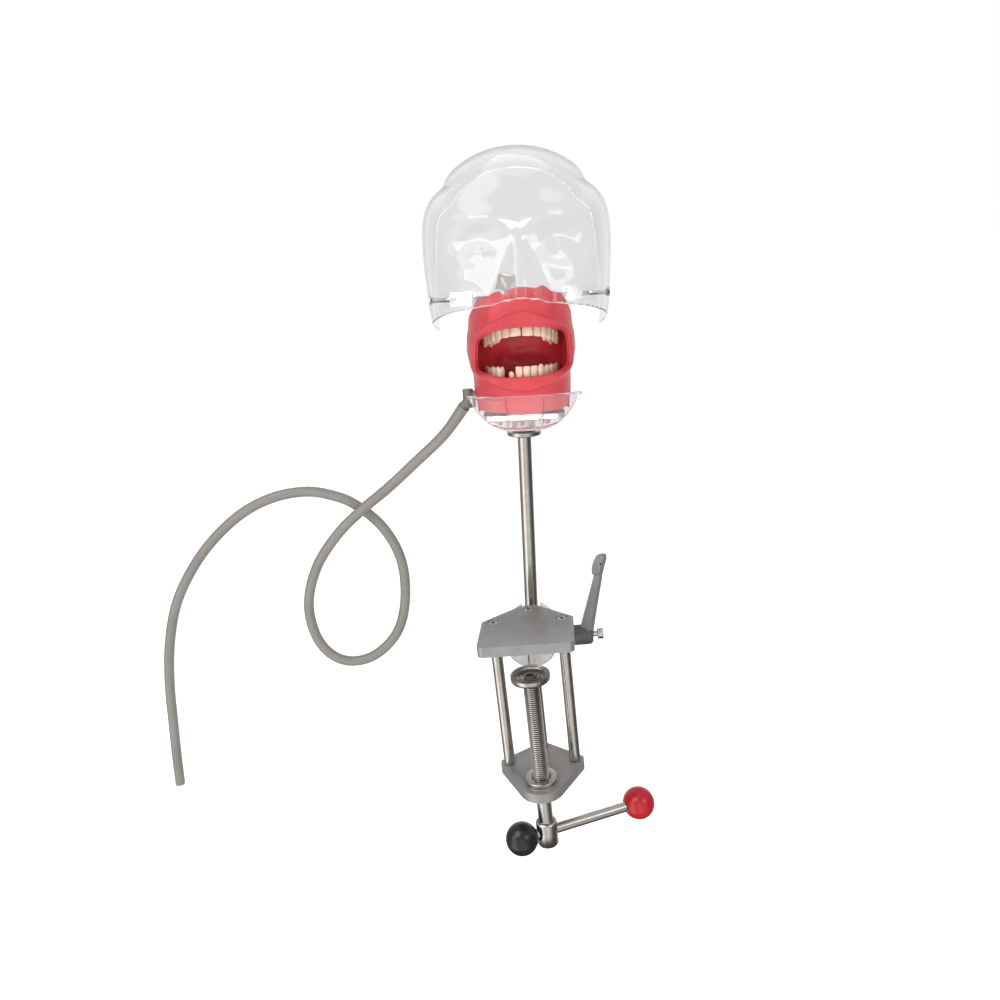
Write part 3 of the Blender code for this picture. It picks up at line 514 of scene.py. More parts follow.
def hose():
    start = HEAD @ Vector(HOSE_START)
    path, length = smooth_path([tuple(start)] + HOSE_ROUTE, 160)
    curve = bpy.data.curves.new("drain_hose_tube", "CURVE")
    curve.dimensions = "3D"
    curve.bevel_depth = HOSE_R * MM
    curve.bevel_resolution = 6
    curve.use_fill_caps = True
    spline = curve.splines.new("POLY")
    spline.points.add(len(path) - 1)
    for i, (point, position) in enumerate(zip(spline.points, path)):
        point.co = (*(position * MM), 1.0)
        point.radius = 1.0 + 0.09 * (1 - ease(i, 0, 3))
    curve.materials.append(M["hose"])
    obj = new_object("drain_hose_tube", curve)
    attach(obj, "head_base")
    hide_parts("drain_hose")


hose()


# ---- clamp frame

SCREWS = {"left": (-30.0, 29.0), "right": (30.0, 29.0), "back": (0.0, 52.0)}
PLATE_T = 9.0
LOWER_TOP = -132.0
LOWER_BOTTOM = -141.0


def counterbore():
    return lathe([(0, 2), (4.9, 2), (4.9, 0.1), (4.6, -0.25), (4.6, -5.6), (2.8, -5.6),
                  (2.8, -PLATE_T - 2), (0, -PLATE_T - 2)], 40)


def cap_screw(name, length, place, node):
    """Socket-head cap screw, head top at z = 0."""
    body = lathe([(0, 0), (3.55, 0), (4.1, -0.25), (4.25, -0.75), (4.25, -5), (2.5, -5),
                  (2.5, -length), (0, -length)], 40)
    socket = lathe([(0, 1), (2.42, 1), (2.3, -2.6), (0, -3.2)], 6)
    put(name, carve(body, [socket]), place, "clamp", "bright", (node,))


def plates():
    corners = []
    for side in (-1, 1):
        corners += [(side * 35, -15, 5.0), (side * 38.5, 29.5, 1.5), (side * 6.5, 58.5, 1.5)]
    tools = [placed(counterbore(), move(x, y, PLATE_T)) for x, y in SCREWS.values()]
    put("top_plate", carve(slab(hull(corners), 0, PLATE_T), tools), ROW, "clamp",
        "blasted", ("upper_plate",), bevel=0.55)
    corners = [(0, 0, 20.5), (0, 55.8, 3.5)]
    for side in (-1, 1):
        corners += [(side * 34.8, 27, 3.2), (side * 35.5, 31.5, 2.5)]
    tools = [placed(counterbore(), move(x, y, LOWER_BOTTOM) @ turn(180, "X"))
             for x, y in SCREWS.values()]
    tools.append(rod(10.7, LOWER_BOTTOM - 2, LOWER_TOP + 2, 64))
    tools.append(lathe([(14.6, LOWER_TOP + 1), (14.6, LOWER_TOP - 0.25),
                        (15.2, LOWER_TOP - 0.25), (15.5, LOWER_TOP + 1)], 64, closed=True))
    put("bottom_plate", carve(slab(hull(corners), LOWER_BOTTOM, LOWER_TOP), tools), ROW,
        "clamp", "blasted", ("lower_plate",), bevel=0.55)
    for side, (x, y) in SCREWS.items():
        cap_screw("top_screw_" + side, 18, move(x, y, PLATE_T - 0.4) @ turn(20, "Z"),
                  "plate_screw_" + side)
        cap_screw("foot_screw_" + side, 16,
                  move(x, y, LOWER_BOTTOM + 0.4) @ turn(180, "X"), "base_screw_" + side)
        high = -0.3 if side != "back" else -45.6
        shape = [(0, LOWER_TOP + 0.3), (4.5, LOWER_TOP + 0.3), (5, LOWER_TOP + 0.8),
                 (5, high - 0.5), (4.5, high), (0, high)]
        put("post_" + side, lathe(shape, 64), move(x, y, 0), "clamp", "turned_z",
            ("column_" + side,))


def spindle():
    top = LOWER_TOP + 4.3
    bush = [(13.3, top), (13.8, top - 0.2), (14.1, top - 0.6), (14.1, LOWER_TOP + 1.1),
            (13.6, LOWER_TOP + 0.9), (13.6, LOWER_TOP + 0.3), (10.4, LOWER_TOP + 0.3),
            (10.4, LOWER_BOTTOM), (7.4, LOWER_BOTTOM), (7.4, top - 1.6), (8.9, top)]
    put("threaded_bush", lathe(bush, 80, closed=True), ROW, "clamp", "turned_flat",
        ("spindle_bush",))
    disc = [(16.2, -27.5), (16.75, -27.7), (17, -28.2), (17, -31.7), (16.6, -32.3),
            (15.9, -32.5), (3.4, -32.5), (3.4, -29.0), (3.9, -28.5), (4.7, -28.5),
            (5.1, -28.8), (5.5, -30.3), (6.1, -30.6), (9.4, -30.7), (9.7, -30.5),
            (10.0, -30.7), (13.2, -30.7), (13.8, -30.3), (14.3, -28.9), (14.7, -28.7),
            (15.0, -28.4), (15.4, -27.6)]
    put("press_disc", lathe(disc, 96, closed=True), ROW, "pressure_pad", "turned_flat",
        ("pressure_disc",))
    root, crest, pitch = 5.9, 7.0, 2.0
    core = lathe([(0, -29.9), (2.4, -29.9), (3.0, -30.4), (3.0, -32.8), (root, -32.8),
                  (root, -145.4), (6.3, -145.6), (6.7, -146.1), (6.7, -172.9),
                  (6.4, -173.2), (4, -173.2), (4, -178.5), (0, -178.5)], 64)
    steps = 28
    rows = []
    turns = 55
    for i in range(turns * steps + 1):
        angle = 2 * math.pi * i / steps
        grown = min(1.0, i / steps, (turns * steps - i) / steps)
        height = -33.4 - pitch * i / steps
        peak = root - 0.15 + (crest - root + 0.15) * grown
        rows.append([(r * math.cos(angle), r * math.sin(angle), height + dz)
                     for r, dz in ((root - 0.3, 0.92), (peak, 0.17), (peak, -0.17),
                                   (root - 0.3, -0.92))])
    work = grid(rows, close_rows=True, work=core)
    cap_ends(work, rows)
    put("clamp_screw", work, ROW, "spindle", "thread", ("spindle_screw",), sharp=28)
    hub = [(0, -178.8), (4.3, -178.8), (4.3, -173.5), (8.1, -173.5), (9.1, -174.2),
           (9.5, -174.9), (9.5, -196.0), (9.1, -196.7), (8.4, -197.0), (0, -197.0)]
    hole = placed(rod(4.8, -30, 30, 48), BAR)
    put("screw_hub", carve(lathe(hub, 80), [hole]), ROW, "spindle", "turned_z",
        ("spindle_hub",), bevel=0.2)


def tommy_bar():
    ends = [(0, 93), (2.8, 93), (2.8, 77.4), (4.1, 77.4), (4.5, 77.0), (4.5, -10.0),
            (4.1, -10.4), (2.8, -10.4), (2.8, -26), (0, -26)]
    put("slide_bar", lathe(ends, 64), BAR, "tommy_bar", "turned_bar", ("tommy_bar",))
    flat = 13.3
    radius = 14.6
    edge = math.degrees(math.asin(flat / radius))
    ball = arc(0, 0, radius, edge, -90, 40)
    profile = [(0, -2.3), (3.1, -2.3), (3.1, flat - 0.8), (4.4, flat - 0.5),
               (5.3, flat)] + ball[:-1] + [(0, -radius)]
    for look, centre, flip in (("black", -24, 0), ("red", 91, 180)):
        put(look + "_knob", lathe(profile, 72), BAR @ move(0, 0, centre) @ turn(flip, "X"),
            "tommy_bar", look, ("knob_" + look,))


# ---- split block and lever

def split_block():
    def notch(front, floor):
        outline = [(-7.8, floor), (7.8, floor), (7.8, -16.8), (9.6, 20), (-9.6, 20),
                   (-7.8, -16.8)]
        return placed(slab(outline, -98, -front), turn(90, "X"))

    for name, node, body, side in (("block_body", "ball_block", "clamp", 1),
                                   ("block_jaw", "ball_jaw", "clamp_jaw", -1)):
        drum = [(0, 24.5), (21.4, 24.5), (22.5, 23.4), (22.5, -23.4), (21.4, -24.5),
                (0, -24.5)]
        work = placed(lathe(drum, 96), move(0, 68.5, -22.8) @ ALONG_Y)
        slit = -3.6 + side * 0.5
        away = ((-40, 30, -60), (slit, 110, 20)) if side > 0 else \
            ((slit, 30, -60), (40, 110, 20))
        tools = [block(*away), notch(63.5, -14.8), notch(75, -27.8)]
        ball = bmesh.new()
        bmesh.ops.create_uvsphere(ball, u_segments=48, v_segments=24, radius=13.9)
        tools.append(placed(ball, move(*BALL)))
        tools.append(placed(rod(4.3, -60, 60), LEVER @ ALONG_X))
        if side > 0:
            tools.append(placed(rod(2.8, -16.8, 10), move(0, 52, 0)))
            tools.append(placed(rod(2.8, -60, -31.3), move(0, 52, 0)))
            tools.append(placed(rod(9.6, 23.2, 60), LEVER @ ALONG_X))
        part = put(name, carve(work, tools), ROW, body, "milled", (node,), bevel=0.3)
        # the faces inside the slit get the near-black material: painted shade in the narrow
        # gap
        part.data.materials.append(M["slit_shade"])
        for face in part.data.polygons:
            if abs(face.center.x / MM + 3.6) < 0.7 and abs(face.normal.x) > 0.9:
                face.material_index = 1


def lever():
    hub = [(2.9, 56.0), (6.3, 56.0), (7.2, 55.6), (8.7, 54.0), (9.15, 50.0), (9.2, 26.4),
           (8.7, 25.0), (5.9, 25.0), (5.9, 47.5), (2.9, 47.5)]
    put("lever_hub", lathe(hub, 64, closed=True), LEVER @ ALONG_X, "lever_handle", "lever",
        ("lever_handle",), bevel=0.4)
    # arm sections from the hub up: (x inner, x outer, z, half depth)
    spine = [(44.0, 56.3, 0.0, 7.0), (45.0, 57.0, 6.0, 6.6), (47.9, 59.2, 16.0, 5.6),
             (51.9, 61.9, 28.0, 5.0), (56.1, 64.9, 41.0, 4.7), (60.0, 67.7, 53.0, 4.5),
             (61.4, 68.6, 57.6, 4.5), (59.3, 69.0, 58.9, 5.0), (59.6, 70.3, 63.6, 5.3),
             (61.6, 72.2, 69.0, 5.2), (64.2, 73.4, 73.4, 4.9), (66.4, 73.2, 75.2, 3.8)]
    rows = []
    for inner, outer, z, half in spine:
        middle = inner * 0.35 + outer * 0.65
        rows.append([(inner, -half * 0.55, z), (middle, -half, z), (outer, -half * 0.5, z),
                     (outer, half * 0.5, z), (middle, half, z), (inner, half * 0.55, z)])
    work = grid(rows, close_rows=True)
    cap_ends(work, rows)
    dimple = placed(rod(1.0, 2, 12, 24), move(67.8, 0, 68.6) @ turn(90, "X"))
    bore = placed(rod(5.95, 20, 47.5), ALONG_X)
    put("lever_arm", carve(work, [dimple, bore]), LEVER, "lever_handle", "lever",
        bevel=0.7)
    screw = [(0, 65.2), (4.2, 65.2), (4.7, 65.0), (5.0, 64.5), (5.0, 62.2), (4.6, 61.9),
             (4.6, 61.4), (5.0, 61.1), (5.0, 60.3), (4.6, 59.9), (2.5, 59.9), (2.5, 36),
             (0, 36)]
    hexagon = lathe([(0, 67), (2.6, 67), (2.4, 62), (0, 61.4)], 6)
    put("lever_bolt", carve(lathe(screw, 48), [hexagon]), LEVER @ ALONG_X, "lever_stud",
        "bright", ("lever_screw",))


# ---- mast and base

def mast():
    shape = [(0, 204), (4.2, 204), (4.7, 203.5), (4.7, 186), (5.6, 186), (6, 185.6),
             (6, 12.6), (3.7, 12.6), (3.7, 2.5), (0, 2.5)]
    put("mast_tube", lathe(shape, 72), MAST, "mast", "turned_z", ("mast_rod",))
    start = math.degrees(math.asin(12.3 / 13.5))
    ball = [(0, 2.0), (4.0, 2.0), (4.0, 12.3)] + arc(0, 0, 13.5, start, -90, 32)[:-1]
    put("joint_ball", lathe(ball + [(0, -13.5)], 64), MAST, "mast", "bright",
        ("mast_ball",))
    ring = [(14.3, 190.3), (15, 189.8), (15, 186.9), (14.3, 186.3), (5, 186.3),
            (5, 190.3)]
    put("mast_ring", lathe(ring, 72, closed=True), MAST, "mast", "turned_flat",
        ("mast_flange",))


BASE_SCREWS = [(-22.0, -44.0), (-4.0, -46.0), (17.0, -44.0)]


def base_unit():
    sleeve = [(0, 208.2), (10.5, 208.2), (10.5, 192.0), (9.9, 190.9), (5.0, 190.9),
              (5.0, 204.4), (0, 204.4)]
    hole = placed(rod(2.3, 3.7, 14, 24), move(0, 0, 197.9) @ ALONG_Y)
    put("collar", carve(lathe(sleeve, 64), [hole]), HEAD, "head_base", "milled",
        ("swivel_collar",), bevel=0.2)
    corners = [(side * (33 - r), y, r) for side in (-1, 1)
               for y, r in ((-44.0, 8.0), (33.0, 3.0))]
    holes = [placed(rod(2.3, 200, 220, 24), move(x, y, 0)) for x, y in BASE_SCREWS]
    put("jaw_base", carve(slab(hull(corners), 208.5, 212.5), holes), HEAD, "head_base",
        "milled", ("base_plate",), bevel=0.4)
    for number, (x, y) in enumerate(BASE_SCREWS, 1):
        head = [(0, 3.6), (2.0, 3.6), (2.0, -2.5), (3.9, -2.5), (3.9, -4.6), (3.5, -5.6),
                (2.4, -6.1), (0, -6.1)]
        slot = block((-0.5, -5, -8), (0.5, 5, -5.0))
        put("brass_screw_%d" % number, carve(lathe(head, 40), [slot]),
            HEAD @ move(x, y, 208.5), "head_base", "brass", ("guard_screw_%d" % number,))


def spigot():
    """The drain's outlet: a short tube out of the mask into an upright barrel."""
    start = Vector(HOSE_START)
    barrel = lathe([(0, 215.5), (3.6, 215.5), (4.4, 217), (4.4, 230.4), (3.9, 231),
                    (0, 231)], 48)
    neck = Vector((-45.8, -20.0, 221.0))
    aim = (neck - start).to_track_quat("Z", "Y").to_matrix().to_4x4()
    tube = placed(rod(4.4, -1.5, (neck - start).length), move(*start) @ aim)
    inlet = placed(rod(3.4, -45.8, -33.0), move(0, -20.0, 226.0) @ ALONG_X)
    put("drain_outlet", joined(placed(barrel, move(-45.8, -20.0, 0)), tube, inlet), HEAD,
        "head_base", "stub", ("drain_spigot",))


GUARD_BACK = -38.0


def guard_wall(t, down):
    angle = t * math.pi / 2
    bottom = 203.0 + 23.0 * abs(math.sin(angle)) ** 2.8
    top = 231.0 - 3.0 * abs(t) ** 2 - 2.6 * ease(abs(t), 0.87, 0.935)
    bottom = min(bottom, top - 3.0)
    height = top + (bottom - top) * down
    lean = 8.0 * (231.0 - height) / 28.0
    x = (43.6 - 0.4 * lean) * power(math.sin(angle), 0.8)
    y = GUARD_BACK - (38.0 - lean) * max(0.0, math.cos(angle)) ** 0.8
    return Vector((x, y, height))


def chin_guard():
    """Clear splash guard: a curved wall, a shallow front panel and a foot."""
    places = sorted({round(-0.935 + 1.87 * i / 72, 4) for i in range(73)}
                    | {-0.168, -0.160, 0.160, 0.168})
    rows = []
    for t in places:
        rows.append([])
        for down in (0, 0.02, 0.045, 0.075, 0.15, 0.25, 0.35, 0.45, 0.55, 0.65, 0.75, 0.85,
                     0.92, 0.97, 1.0):
            point = guard_wall(t, down)
            point += 0.75 * bell(down, 0.025, 0.035) * Vector((math.sin(t * 1.57),
                                                             -math.cos(t * 1.57), 0))
            if abs(t) < 0.165:
                point.y += 0.7
            rows[-1].append(point)
    work = grid(rows)
    foot = []
    for i in range(41):
        t = -0.45 + 0.9 * i / 40
        edge = guard_wall(t, 1.0)
        foot.append([])
        for inward, rise in ((0.0, 0.0), (0.12, 0.14), (0.3, 0.5), (0.5, 0.85), (0.6, 1.0),
                             (0.8, 1.0), (1.05, 1.0)):
            foot[-1].append(Vector((edge.x, edge.y + (GUARD_BACK - edge.y) * inward,
                                    edge.z + (207.2 - edge.z) * rise)))
    grid(foot, work=work)
    bmesh.ops.remove_doubles(work, verts=work.verts, dist=0.02)
    put("splash_guard", work, HEAD, "head_base", "guard", ("chin_guard",), thickness=1.6,
        offset=0.0, sharp=50, rim="guard_edge")


# ---- arches and teeth

ARCH_HALF_W = 26.6
ARCH_DEPTH = 40.0
ARCH_BACK_Y = -17.0


def arch_table():
    points = [(0.0, 0.0)]
    last = arch_point(0.0)
    for i in range(1, 401):
        t = i / 400
        here = arch_point(t)
        points.append((points[-1][0] + (here - last).length, t))
        last = here
    return points


def arch_point(t, offset=0.0):
    angle = t * math.pi / 2
    x = ARCH_HALF_W * math.sin(angle)
    y = ARCH_BACK_Y - ARCH_DEPTH * math.cos(angle)
    normal = Vector((math.sin(angle) / ARCH_HALF_W, -math.cos(angle) / ARCH_DEPTH))
    normal.normalize()
    return Vector((x, y)) + normal * offset


ARCH = arch_table()


def arch_at(length):
    """t on the arch at a signed arc length from the midline."""
    want = abs(length)
    for (a, ta), (b, tb) in zip(ARCH, ARCH[1:]):
        if b >= want:
            t = ta + (tb - ta) * (want - a) / (b - a)
            return math.copysign(t, length)
    return math.copysign(1.0, length)


# kind, width, depth: from the midline outwards
UPPER = [("incisor", 8.6, 7.0), ("incisor", 6.6, 6.2), ("canine", 7.4, 7.6),
         ("premolar", 6.6, 8.6), ("premolar", 6.3, 8.6), ("molar", 8.9, 10.2),
         ("molar", 7.3, 9.8)]
LOWER = [("incisor", 5.4, 5.8), ("incisor", 5.8, 6.0), ("canine", 6.7, 7.2),
         ("premolar", 6.7, 7.6), ("premolar", 6.8, 8.0), ("molar", 9.7, 9.8),
         ("molar", 9.0, 9.6)]
SHAPES = {  # half width and half depth along the crown, neck to edge, and edge lean
    "incisor": [(-0.35, 0.37, 0.36, 0), (0.0, 0.41, 0.44, 0), (0.25, 0.455, 0.42, 0.05),
                (0.55, 0.49, 0.31, 0.14), (0.8, 0.495, 0.2, 0.22), (0.94, 0.49, 0.13, 0.26),
                (1.0, 0.45, 0.085, 0.27)],
    "canine": [(-0.35, 0.37, 0.38, 0), (0.0, 0.42, 0.46, 0), (0.3, 0.47, 0.44, 0.05),
               (0.6, 0.485, 0.35, 0.12), (0.8, 0.41, 0.25, 0.18), (0.95, 0.25, 0.14, 0.22),
               (1.03, 0.10, 0.07, 0.23)],
    "premolar": [(-0.35, 0.38, 0.40, 0), (0.0, 0.43, 0.46, 0), (0.35, 0.48, 0.49, 0),
                 (0.7, 0.49, 0.47, 0), (0.9, 0.46, 0.42, 0), (1.0, 0.38, 0.32, 0)],
    "molar": [(-0.35, 0.42, 0.40, 0), (0.0, 0.45, 0.46, 0), (0.35, 0.49, 0.49, 0),
              (0.7, 0.495, 0.48, 0), (0.9, 0.47, 0.43, 0), (1.0, 0.40, 0.35, 0)],
}


def crown(work, kind, width, depth, height, place, wear=0.0):
    """One tooth crown on z = 0 (gum line), with its outer side towards -Y."""
    sides = 20
    cheek = kind in ("premolar", "molar")
    rows = []
    for up, half_w, half_d, lean in SHAPES[kind]:
        row = []
        for i in range(sides):
            angle = 2 * math.pi * i / sides
            exponent = 0.8 if cheek else 0.72
            x = half_w * width * power(math.cos(angle), exponent)
            y = half_d * depth * power(math.sin(angle), exponent) - lean * depth
            z = up * height
            if cheek and up > 0.85:
                lobes = 2 if kind == "premolar" else 4
                z -= 0.09 * height * math.cos(lobes * angle)
            if kind == "incisor" and up > 0.9:
                z -= wear * abs(x) / width
            row.append((x, y, z))
        rows.append(row)
    top = rows[-1]
    middle = [sum(p[k] for p in top) / sides for k in range(3)]
    if cheek:
        inner = [(middle[0] + (p[0] - middle[0]) * 0.5, middle[1] + (p[1] - middle[1]) * 0.5,
                  p[2] - 0.10 * height) for p in top]
        rows.append(inner)
        middle[2] -= 0.2 * height
    grid([[place @ Vector(p) for p in row] for row in rows], close_rows=True, work=work)
    work.verts.ensure_lookup_table()
    neck = work.verts[-sides * len(rows):][:sides]
    edge = work.verts[-sides:]
    tip = work.verts.new(place @ Vector(middle))
    for i in range(sides):
        work.faces.new((edge[i], edge[(i + 1) % sides], tip))
    work.faces.new(neck[::-1])


def stand(length, inset, height, flip, roll=0.0):
    """The place of a tooth on the arch at a signed arc length from the midline."""
    t = arch_at(length)
    at = arch_point(t, -inset)
    ahead = arch_point(t, 1.0) - arch_point(t)
    angle = math.degrees(math.atan2(ahead.x, -ahead.y))
    place = move(at.x, at.y, height) @ turn(angle, "Z")
    if flip:
        place = place @ turn(180, "Y")
    return place @ turn(roll, "Y")


TALL = {"incisor": 1.0, "canine": 1.04, "premolar": 0.86, "molar": 0.78}
UPPER_TALL = {"incisor": 0.88, "canine": 0.96, "premolar": 0.97, "molar": 0.93}


def tooth_row(sizes, side, gum_height, flip, crown_height, leave_out=()):
    """Crowns from the midline outwards on one side."""
    work = bmesh.new()
    along = 0.0
    for number, (kind, width, depth) in enumerate(sizes):
        middle = side * (along + width / 2)
        along += width
        if number in leave_out:
            continue
        tall = crown_height * (UPPER_TALL if flip else TALL)[kind]
        stagger = 0.25 * math.sin(number * 2.3 + side)
        inset = -0.4 if kind == "incisor" else 0.0
        place = stand(middle, inset + stagger, gum_height, flip, 1.5 * math.sin(number * 3.1))
        spread = 1.06 if kind == "incisor" else 1.02
        crown(work, kind, width * spread, depth, tall, place, wear=0.5)
    return work


def joined(*works):
    result = bmesh.new()
    for work in works:
        mesh = new_mesh("joined", work)
        result.from_mesh(mesh)
        bpy.data.meshes.remove(mesh)
    return result


def gum_band(sizes, margin, floor, flip, gap=None):
    """Gum with a scalloped margin and faint root bulges; margin is the teeth's neck."""
    edges = [0.0]
    for _, width, _ in sizes:
        edges.append(edges[-1] + width)
    sign = -1.0 if flip else 1.0
    rows = []
    steps = 200
    for i in range(steps + 1):
        t = -1 + 2 * i / steps
        length = next((a for (a, _), (_, far) in zip(ARCH, ARCH[1:]) if far >= abs(t)),
                      ARCH[-1][0])
        phase = 0.0
        for low, high in zip(edges, edges[1:]):
            if low <= length <= high:
                phase = (length - low) / (high - low)
        papilla = abs(math.cos(math.pi * phase)) ** 2.2
        if gap and gap[0] < t < gap[1]:
            papilla = 0.4
        rise = sign * (-1.1 + 2.4 * papilla)
        bulge = 0.9 * (1 - papilla)
        back = 1 - ease(abs(t), 0.93, 1.0)
        wide = 4.9 + 0.9 * ease(abs(t), 0.35, 0.75)
        depth = floor - margin
        section = [
            (-8.0, floor), (-8.4, margin + depth * 0.55),
            (-7.6 - bulge * 0.3, margin + depth * 0.25),
            (-wide, margin + rise * 0.6 + sign * -0.4), (-wide + 1.6, margin + rise * 0.8),
            (0, margin + rise * 0.4 - sign * 0.4), (wide - 2.4, margin + rise),
            (wide - 0.7, margin + rise - sign * 0.5),
            (6.3 + bulge * 0.5, margin + depth * 0.22), (7.2 + bulge, margin + depth * 0.5),
            (7.0 + bulge * 0.3, floor),
        ]
        row = []
        for offset, z in section:
            p = arch_point(t, offset * (0.35 + 0.65 * back))
            row.append(Vector((p.x, p.y, margin + (z - margin) * (0.6 + 0.4 * back)
                               + (floor - margin) * 0.4 * (1 - back) * (z == floor))))
        rows.append(row)
    work = grid(rows, close_rows=True)
    cap_ends(work, rows)
    return work


def palate():
    """The vault inside the upper arch."""
    rows = []
    for i in range(25):
        t = i / 24
        y = -50.5 + 33.0 * t
        inner = ARCH_HALF_W * math.sqrt(max(0.02, 1 - ((ARCH_BACK_Y - y) / ARCH_DEPTH) ** 2))
        half = max(3.0, inner - 5.5)
        rise = 15.0 * ease(t, -0.05, 0.55)
        rows.append([(half * s, y, 266.5 + rise * (1 - abs(s) ** 2.4)
                      - 0.5 * math.cos(t * 50) * bell(t, 0.2, 0.2) * (1 - abs(s)))
                     for s in [k / 12 - 1 for k in range(25)]])
    put("palate", grid(rows), JAW, "upper_head", "gum", thickness=1.6, offset=1.0,
        subdivide=1)


def jaws():
    bite_low = 251.6
    height = 9.5
    neck = bite_low - height
    put("lower_gum_band", gum_band(LOWER, neck, 212.8, False, (-0.44, -0.13)), HEAD,
        "head_base", "gum", ("lower_gum",), subdivide=1)
    right = tooth_row(LOWER, 1, neck - 0.6, False, height + 0.6)
    middle = tooth_row(LOWER[:1], -1, neck - 0.6, False, height + 0.6)
    put("lower_teeth_a", joined(right, middle), HEAD, "head_base", "tooth",
        ("lower_teeth_right",), subdivide=1)
    left = tooth_row(LOWER, -1, neck - 0.6, False, height + 0.6, leave_out=(0, 1, 2))
    stump = bmesh.new()
    crown(stump, "canine", 5.0, 5.6, 6.2, stand(-8.3, 0.4, neck - 0.6, False, -10))
    put("lower_teeth_b", joined(left, stump), HEAD, "head_base", "tooth",
        ("lower_teeth_left",), subdivide=1)
    neck = 262.0
    put("upper_gum_band", gum_band(UPPER, neck, 285.2, True), JAW, "upper_head", "gum",
        ("upper_gum",), subdivide=1)
    rows = [tooth_row(UPPER, side, neck + 0.6, True, height + 0.6) for side in (-1, 1)]
    put("upper_teeth_row", joined(*rows), JAW, "upper_head", "tooth", ("upper_teeth",),
        subdivide=1)
    palate()


# ---- upper head, hinge, shell

def upper_frame():
    corners = [(side * 33.3, y, 3.0) for side in (-1, 1) for y in (-56.0, 29.0)]
    hole = placed(rod(3.4, 280, 295, 32), move(-9, -40, 0))
    put("jaw_plate", carve(slab(hull(corners), 285.5, 289.0), [hole]), JAW, "upper_head",
        "milled", ("upper_jaw_plate",), bevel=0.4)
    knob = [(0, 21.0), (2.0, 20.9), (3.6, 20.2), (4.6, 18.8), (5.2, 16.5), (6.6, 9.4),
            (7.1, 7.6), (7.5, 7.0), (7.5, 5.0), (7.0, 4.2), (3.0, 4.2), (3.0, 0.4), (0, 0.4)]
    put("knob_post", lathe(knob, 56), JAW @ move(-9, -40, 285.5), "upper_head", "bright",
        ("shell_knob",))


SHELL_MID = 343.0


def shell_base(azimuth, z):
    """A point of the plain dome: azimuth in degrees from the front, at a height."""
    if z >= SHELL_MID:
        shrink = max(0.0, 1 - ((z - SHELL_MID) / 76.0) ** 2.1) ** 0.5
        front_shrink = max(0.0, 1 - ((z - SHELL_MID) / 76.0) ** 2.5) ** 0.5
    else:
        shrink = max(0.0, 1 - ((SHELL_MID - z) / 158.0) ** 2) ** 0.5
        front_shrink = 1.0
    wide = 77.6 * shrink
    front = (73.0 + 8.0 * ease(SHELL_MID - z, -6, 40)) * front_shrink
    back = 88.0 * shrink
    s = math.sin(math.radians(azimuth))
    c = math.cos(math.radians(azimuth))
    x = wide * power(s, 0.94)
    y = -4 - (front if c > 0 else back) * power(c, 0.94)
    return Vector((x, y, z))


def face_relief(x, z):
    """How far the face stands out (mm) at a place seen from the front."""
    a = abs(x)
    socket = -8.0 * bell(a, 31, 15) * bell(z, 345, 11)
    ball = 4.6 * bell(a, 31, 9) * bell(z, 339.5, 6.5)
    d = a - 31
    lid = (bell(z, 341.4 - 0.035 * d * d, 0.75) + bell(z, 338.0 + 0.028 * d * d, 0.75)) \
        * ease(7.2 - abs(d), 0, 1.5)
    brow = 3.2 * bell(z, 360, 7) * bell(a, 27, 22)
    height = 15.0 * ease(354 - z, 0, 42)
    width = 6.0 + 8.0 * ease(346 - z, 0, 40)
    nose = height * math.exp(-(a / width) ** 2.6)
    wing = 4.5 * bell(a, 14.5, 4.5) * bell(z, 305, 6)
    nostril = -3.0 * bell(a, 8, 3.2) * bell(z, 300.5, 3.5)
    cheek = 3.4 * bell(a, 46, 14) * bell(z, 320, 12)
    hollow = -2.0 * bell(a, 40, 9) * bell(z, 303, 7)
    return socket + ball - 0.8 * lid + brow + nose + wing + nostril + cheek + hollow


def shell_point(azimuth, z):
    p = shell_base(azimuth, z)
    frontal = ease(math.cos(math.radians(azimuth)), 0.12, 0.5)
    p.y -= face_relief(p.x, z) * frontal
    out = Vector((p.x, p.y + 4, (z - SHELL_MID) * 0.9)).normalized()
    side = ease(abs(p.x), 26, 52)
    valley = -2.8 * bell(z, 391 - 0.12 * (p.y + 20), 7) * side
    wing = 1.2 * bell(z, 370, 12) * side
    step = -1.5 * ease(-p.y, -22, -15) * ease(z, 290, 320)
    return p + out * (valley + wing + step)


def face_shell():
    columns = 320
    heights = [272 + 1.15 * i for i in range(96)]
    crown_steps = 34
    for i in range(1, crown_steps - 2):
        heights.append(heights[95] + (SHELL_MID + 76.0 - heights[95])
                       * math.sin(i / crown_steps * math.pi / 2))
    rows = []
    for z in heights:
        rows.append([])
        for i in range(columns):
            u = 2 * (i + 0.5) / columns - 1
            rows[-1].append(shell_point(180 * (0.4 * u + 0.6 * u ** 3), z))
    work = grid(rows, close_rows=True)
    work.verts.ensure_lookup_table()
    crown = work.verts.new((0, -4, SHELL_MID + 74.5))
    last = work.verts[-1 - columns:-1]
    for i in range(columns):
        work.faces.new((last[i], last[(i + 1) % columns], crown))
    for point, normal in (((0, -83, 299.3), (0, -0.24, -1)), ((0, 34, 340), (0, 1, -0.06)),
                          ((0, 34, 338), (0, 0.944, -0.33))):
        across = Vector(normal).normalized()
        for vert in work.verts:  # no slivers along the cut
            off = (vert.co - Vector(point)).dot(across)
            if abs(off) < 0.4:
                vert.co -= off * across
        geometry = work.verts[:] + work.edges[:] + work.faces[:]
        bmesh.ops.bisect_plane(work, geom=geometry, plane_co=point, plane_no=normal,
                               dist=0.02, clear_outer=True)
    put("clear_face_shell", work, HEAD, "upper_head", "shell", ("face_shell",),
        thickness=2.0, sharp=60, rim="shell_edge")


# ---- mask and lining

